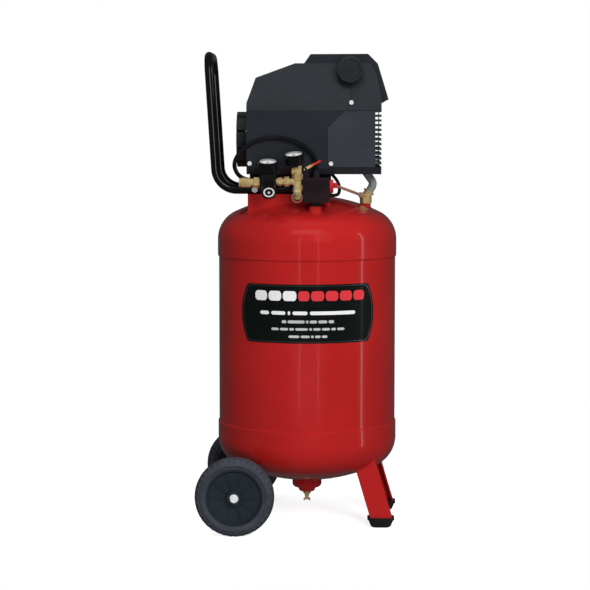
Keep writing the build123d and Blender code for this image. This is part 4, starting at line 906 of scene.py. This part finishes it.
def windings():
    """The stator's end turns: lumpy copper rings at both ends of the core."""
    steps, sides, lumps = 144, 16, 12
    ring_r, bundle_r, bundle_half_w = 46.5, 8.0, 6.5
    for name, x0 in (("left", -118.5), ("right", -32.5)):
        verts = []
        for i in range(steps):
            a = 2 * math.pi * i / steps
            swell = 1.0 + 0.08 * math.cos(lumps * a)
            for k in range(sides):
                b = 2 * math.pi * k / sides
                radius = ring_r + bundle_r * swell * math.cos(b)
                x = x0 + bundle_half_w * swell * math.sin(b)
                verts.append(at(x, radius * math.cos(a), MOTOR_AXIS_Z + radius * math.sin(a)))
        mesh_piece(f"winding_{name}", verts, ring_faces(steps, sides), FINISH["copper_winding"])


knob_detail("knob_ring", [(8.6, 0.05), (8.6, 0.7), (9.3, 1.1), (11.8, 1.1), (12.6, 0.7), (12.6, 0.05)])
knob_detail("knob_screw", [(0.01, 1.4), (0.01, 2.5), (2.2, 2.5), (2.9, 1.9), (3.0, 1.4)])
windings()


# ---------------------------------------------------------------- stage and light
def make_floor():
    """A pale disc just larger than the compressor's footprint."""
    sides = 96
    angles = [2 * math.pi * i / sides for i in range(sides)]
    verts = [(FLOOR_R * math.cos(a), FLOOR_R * math.sin(a), 0) for a in angles]
    data = bpy.data.meshes.new("floor")
    data.from_pydata(verts, [], [tuple(range(sides))])
    floor = bpy.data.objects.new("floor", data)
    data.materials.append(ground_finish())
    bpy.context.scene.collection.objects.link(floor)
    floor.visible_glossy = floor.visible_diffuse = False


def soft_box(
    name, azimuth, elevation, distance, width, height, level, aim=0.6, glossy=True, diffuse=True, only=None
):
    """A rectangular lamp, placed by its bearing from the label side and its elevation, both in degrees.

    The level is its brightness for each unit of its area, aim is the height it faces, and only names the
    nodes that it lights.
    """
    a, e = math.radians(azimuth), math.radians(elevation)
    target = Vector((TANK_X, 0.0, aim))
    place = target + distance * Vector((math.sin(a) * math.cos(e), -math.cos(a) * math.cos(e), math.sin(e)))
    data = bpy.data.lights.new(name, "AREA")
    data.shape = "RECTANGLE"
    data.size, data.size_y = width, height
    data.energy = math.pi * width * height * level
    lamp = bpy.data.objects.new(name, data)
    lamp.location = place
    lamp.rotation_euler = (target - place).to_track_quat("-Z", "Y").to_euler()
    lamp.visible_glossy, lamp.visible_diffuse = glossy, diffuse
    if only:
        lit = bpy.data.collections.new(name)
        for node in only:
            lit.objects.link(frame["nodes"][node])
        lamp.light_linking.receiver_collection = lit
    bpy.context.scene.collection.objects.link(lamp)


def make_world():
    """White behind the object, with a dimmer room for reflections and for ambient light."""
    world = bpy.data.worlds.new("studio")
    world.use_nodes = True
    tree = world.node_tree
    behind = tree.nodes["Background"]
    behind.inputs["Color"].default_value = (1.0, 1.0, 1.0, 1.0)
    behind.inputs["Strength"].default_value = 1.0
    shades = []
    for strength in (0.16, 0.06):
        shade = tree.nodes.new("ShaderNodeBackground")
        shade.inputs["Color"].default_value = (0.95, 0.97, 1.0, 1.0)
        shade.inputs["Strength"].default_value = strength
        shades.append(shade.outputs[0])
    path = tree.nodes.new("ShaderNodeLightPath")
    room, seen = tree.nodes.new("ShaderNodeMixShader"), tree.nodes.new("ShaderNodeMixShader")
    for blend, switch, off, on in (
        (room, "Is Glossy Ray", shades[0], shades[1]),
        (seen, "Is Camera Ray", room.outputs[0], behind.outputs[0]),
    ):
        tree.links.new(path.outputs[switch], blend.inputs[0])
        tree.links.new(off, blend.inputs[1])
        tree.links.new(on, blend.inputs[2])
    tree.links.new(seen.outputs[0], tree.nodes["World Output"].inputs["Surface"])
    bpy.context.scene.world = world


def make_light():
    """Broad lamps that light the object, and narrow ones that only show as lines in its gloss.

    Each row gives a bearing and an elevation, then distance, width and height, and then the level.
    """
    make_world()
    soft_box("key", 20, 22, 4.0, 1.6, 2.0, 12.0, glossy=False)
    soft_box("low", 2, -4, 3.2, 2.4, 0.3, 11.0, aim=0.2, glossy=False)
    soft_box("upper", 0, 40, 3.6, 2.2, 1.0, 0.5)
    soft_box("top", -35, 76, 2.6, 2.0, 2.0, 2.4, glossy=False)
    soft_box("line_left", -8.5, 4, 4.6, 0.10, 2.6, 1.2, diffuse=False)
    soft_box("line_right", 15, 4, 4.6, 0.10, 2.6, 1.0, diffuse=False)
    soft_box("strip_right", 74, 4, 3.0, 0.16, 2.6, 2.0, diffuse=False)
    soft_box("tube_line", 10, 8, 3.4, 0.6, 2.6, 4.2, aim=0.9, diffuse=False, only=["handle_tube"])
    soft_box("tube_edge", 84, 8, 3.0, 0.7, 2.6, 2.6, aim=0.9, diffuse=False, only=["handle_tube"])


make_floor()
make_light()
bpy.context.scene.view_settings.view_transform = "Standard"
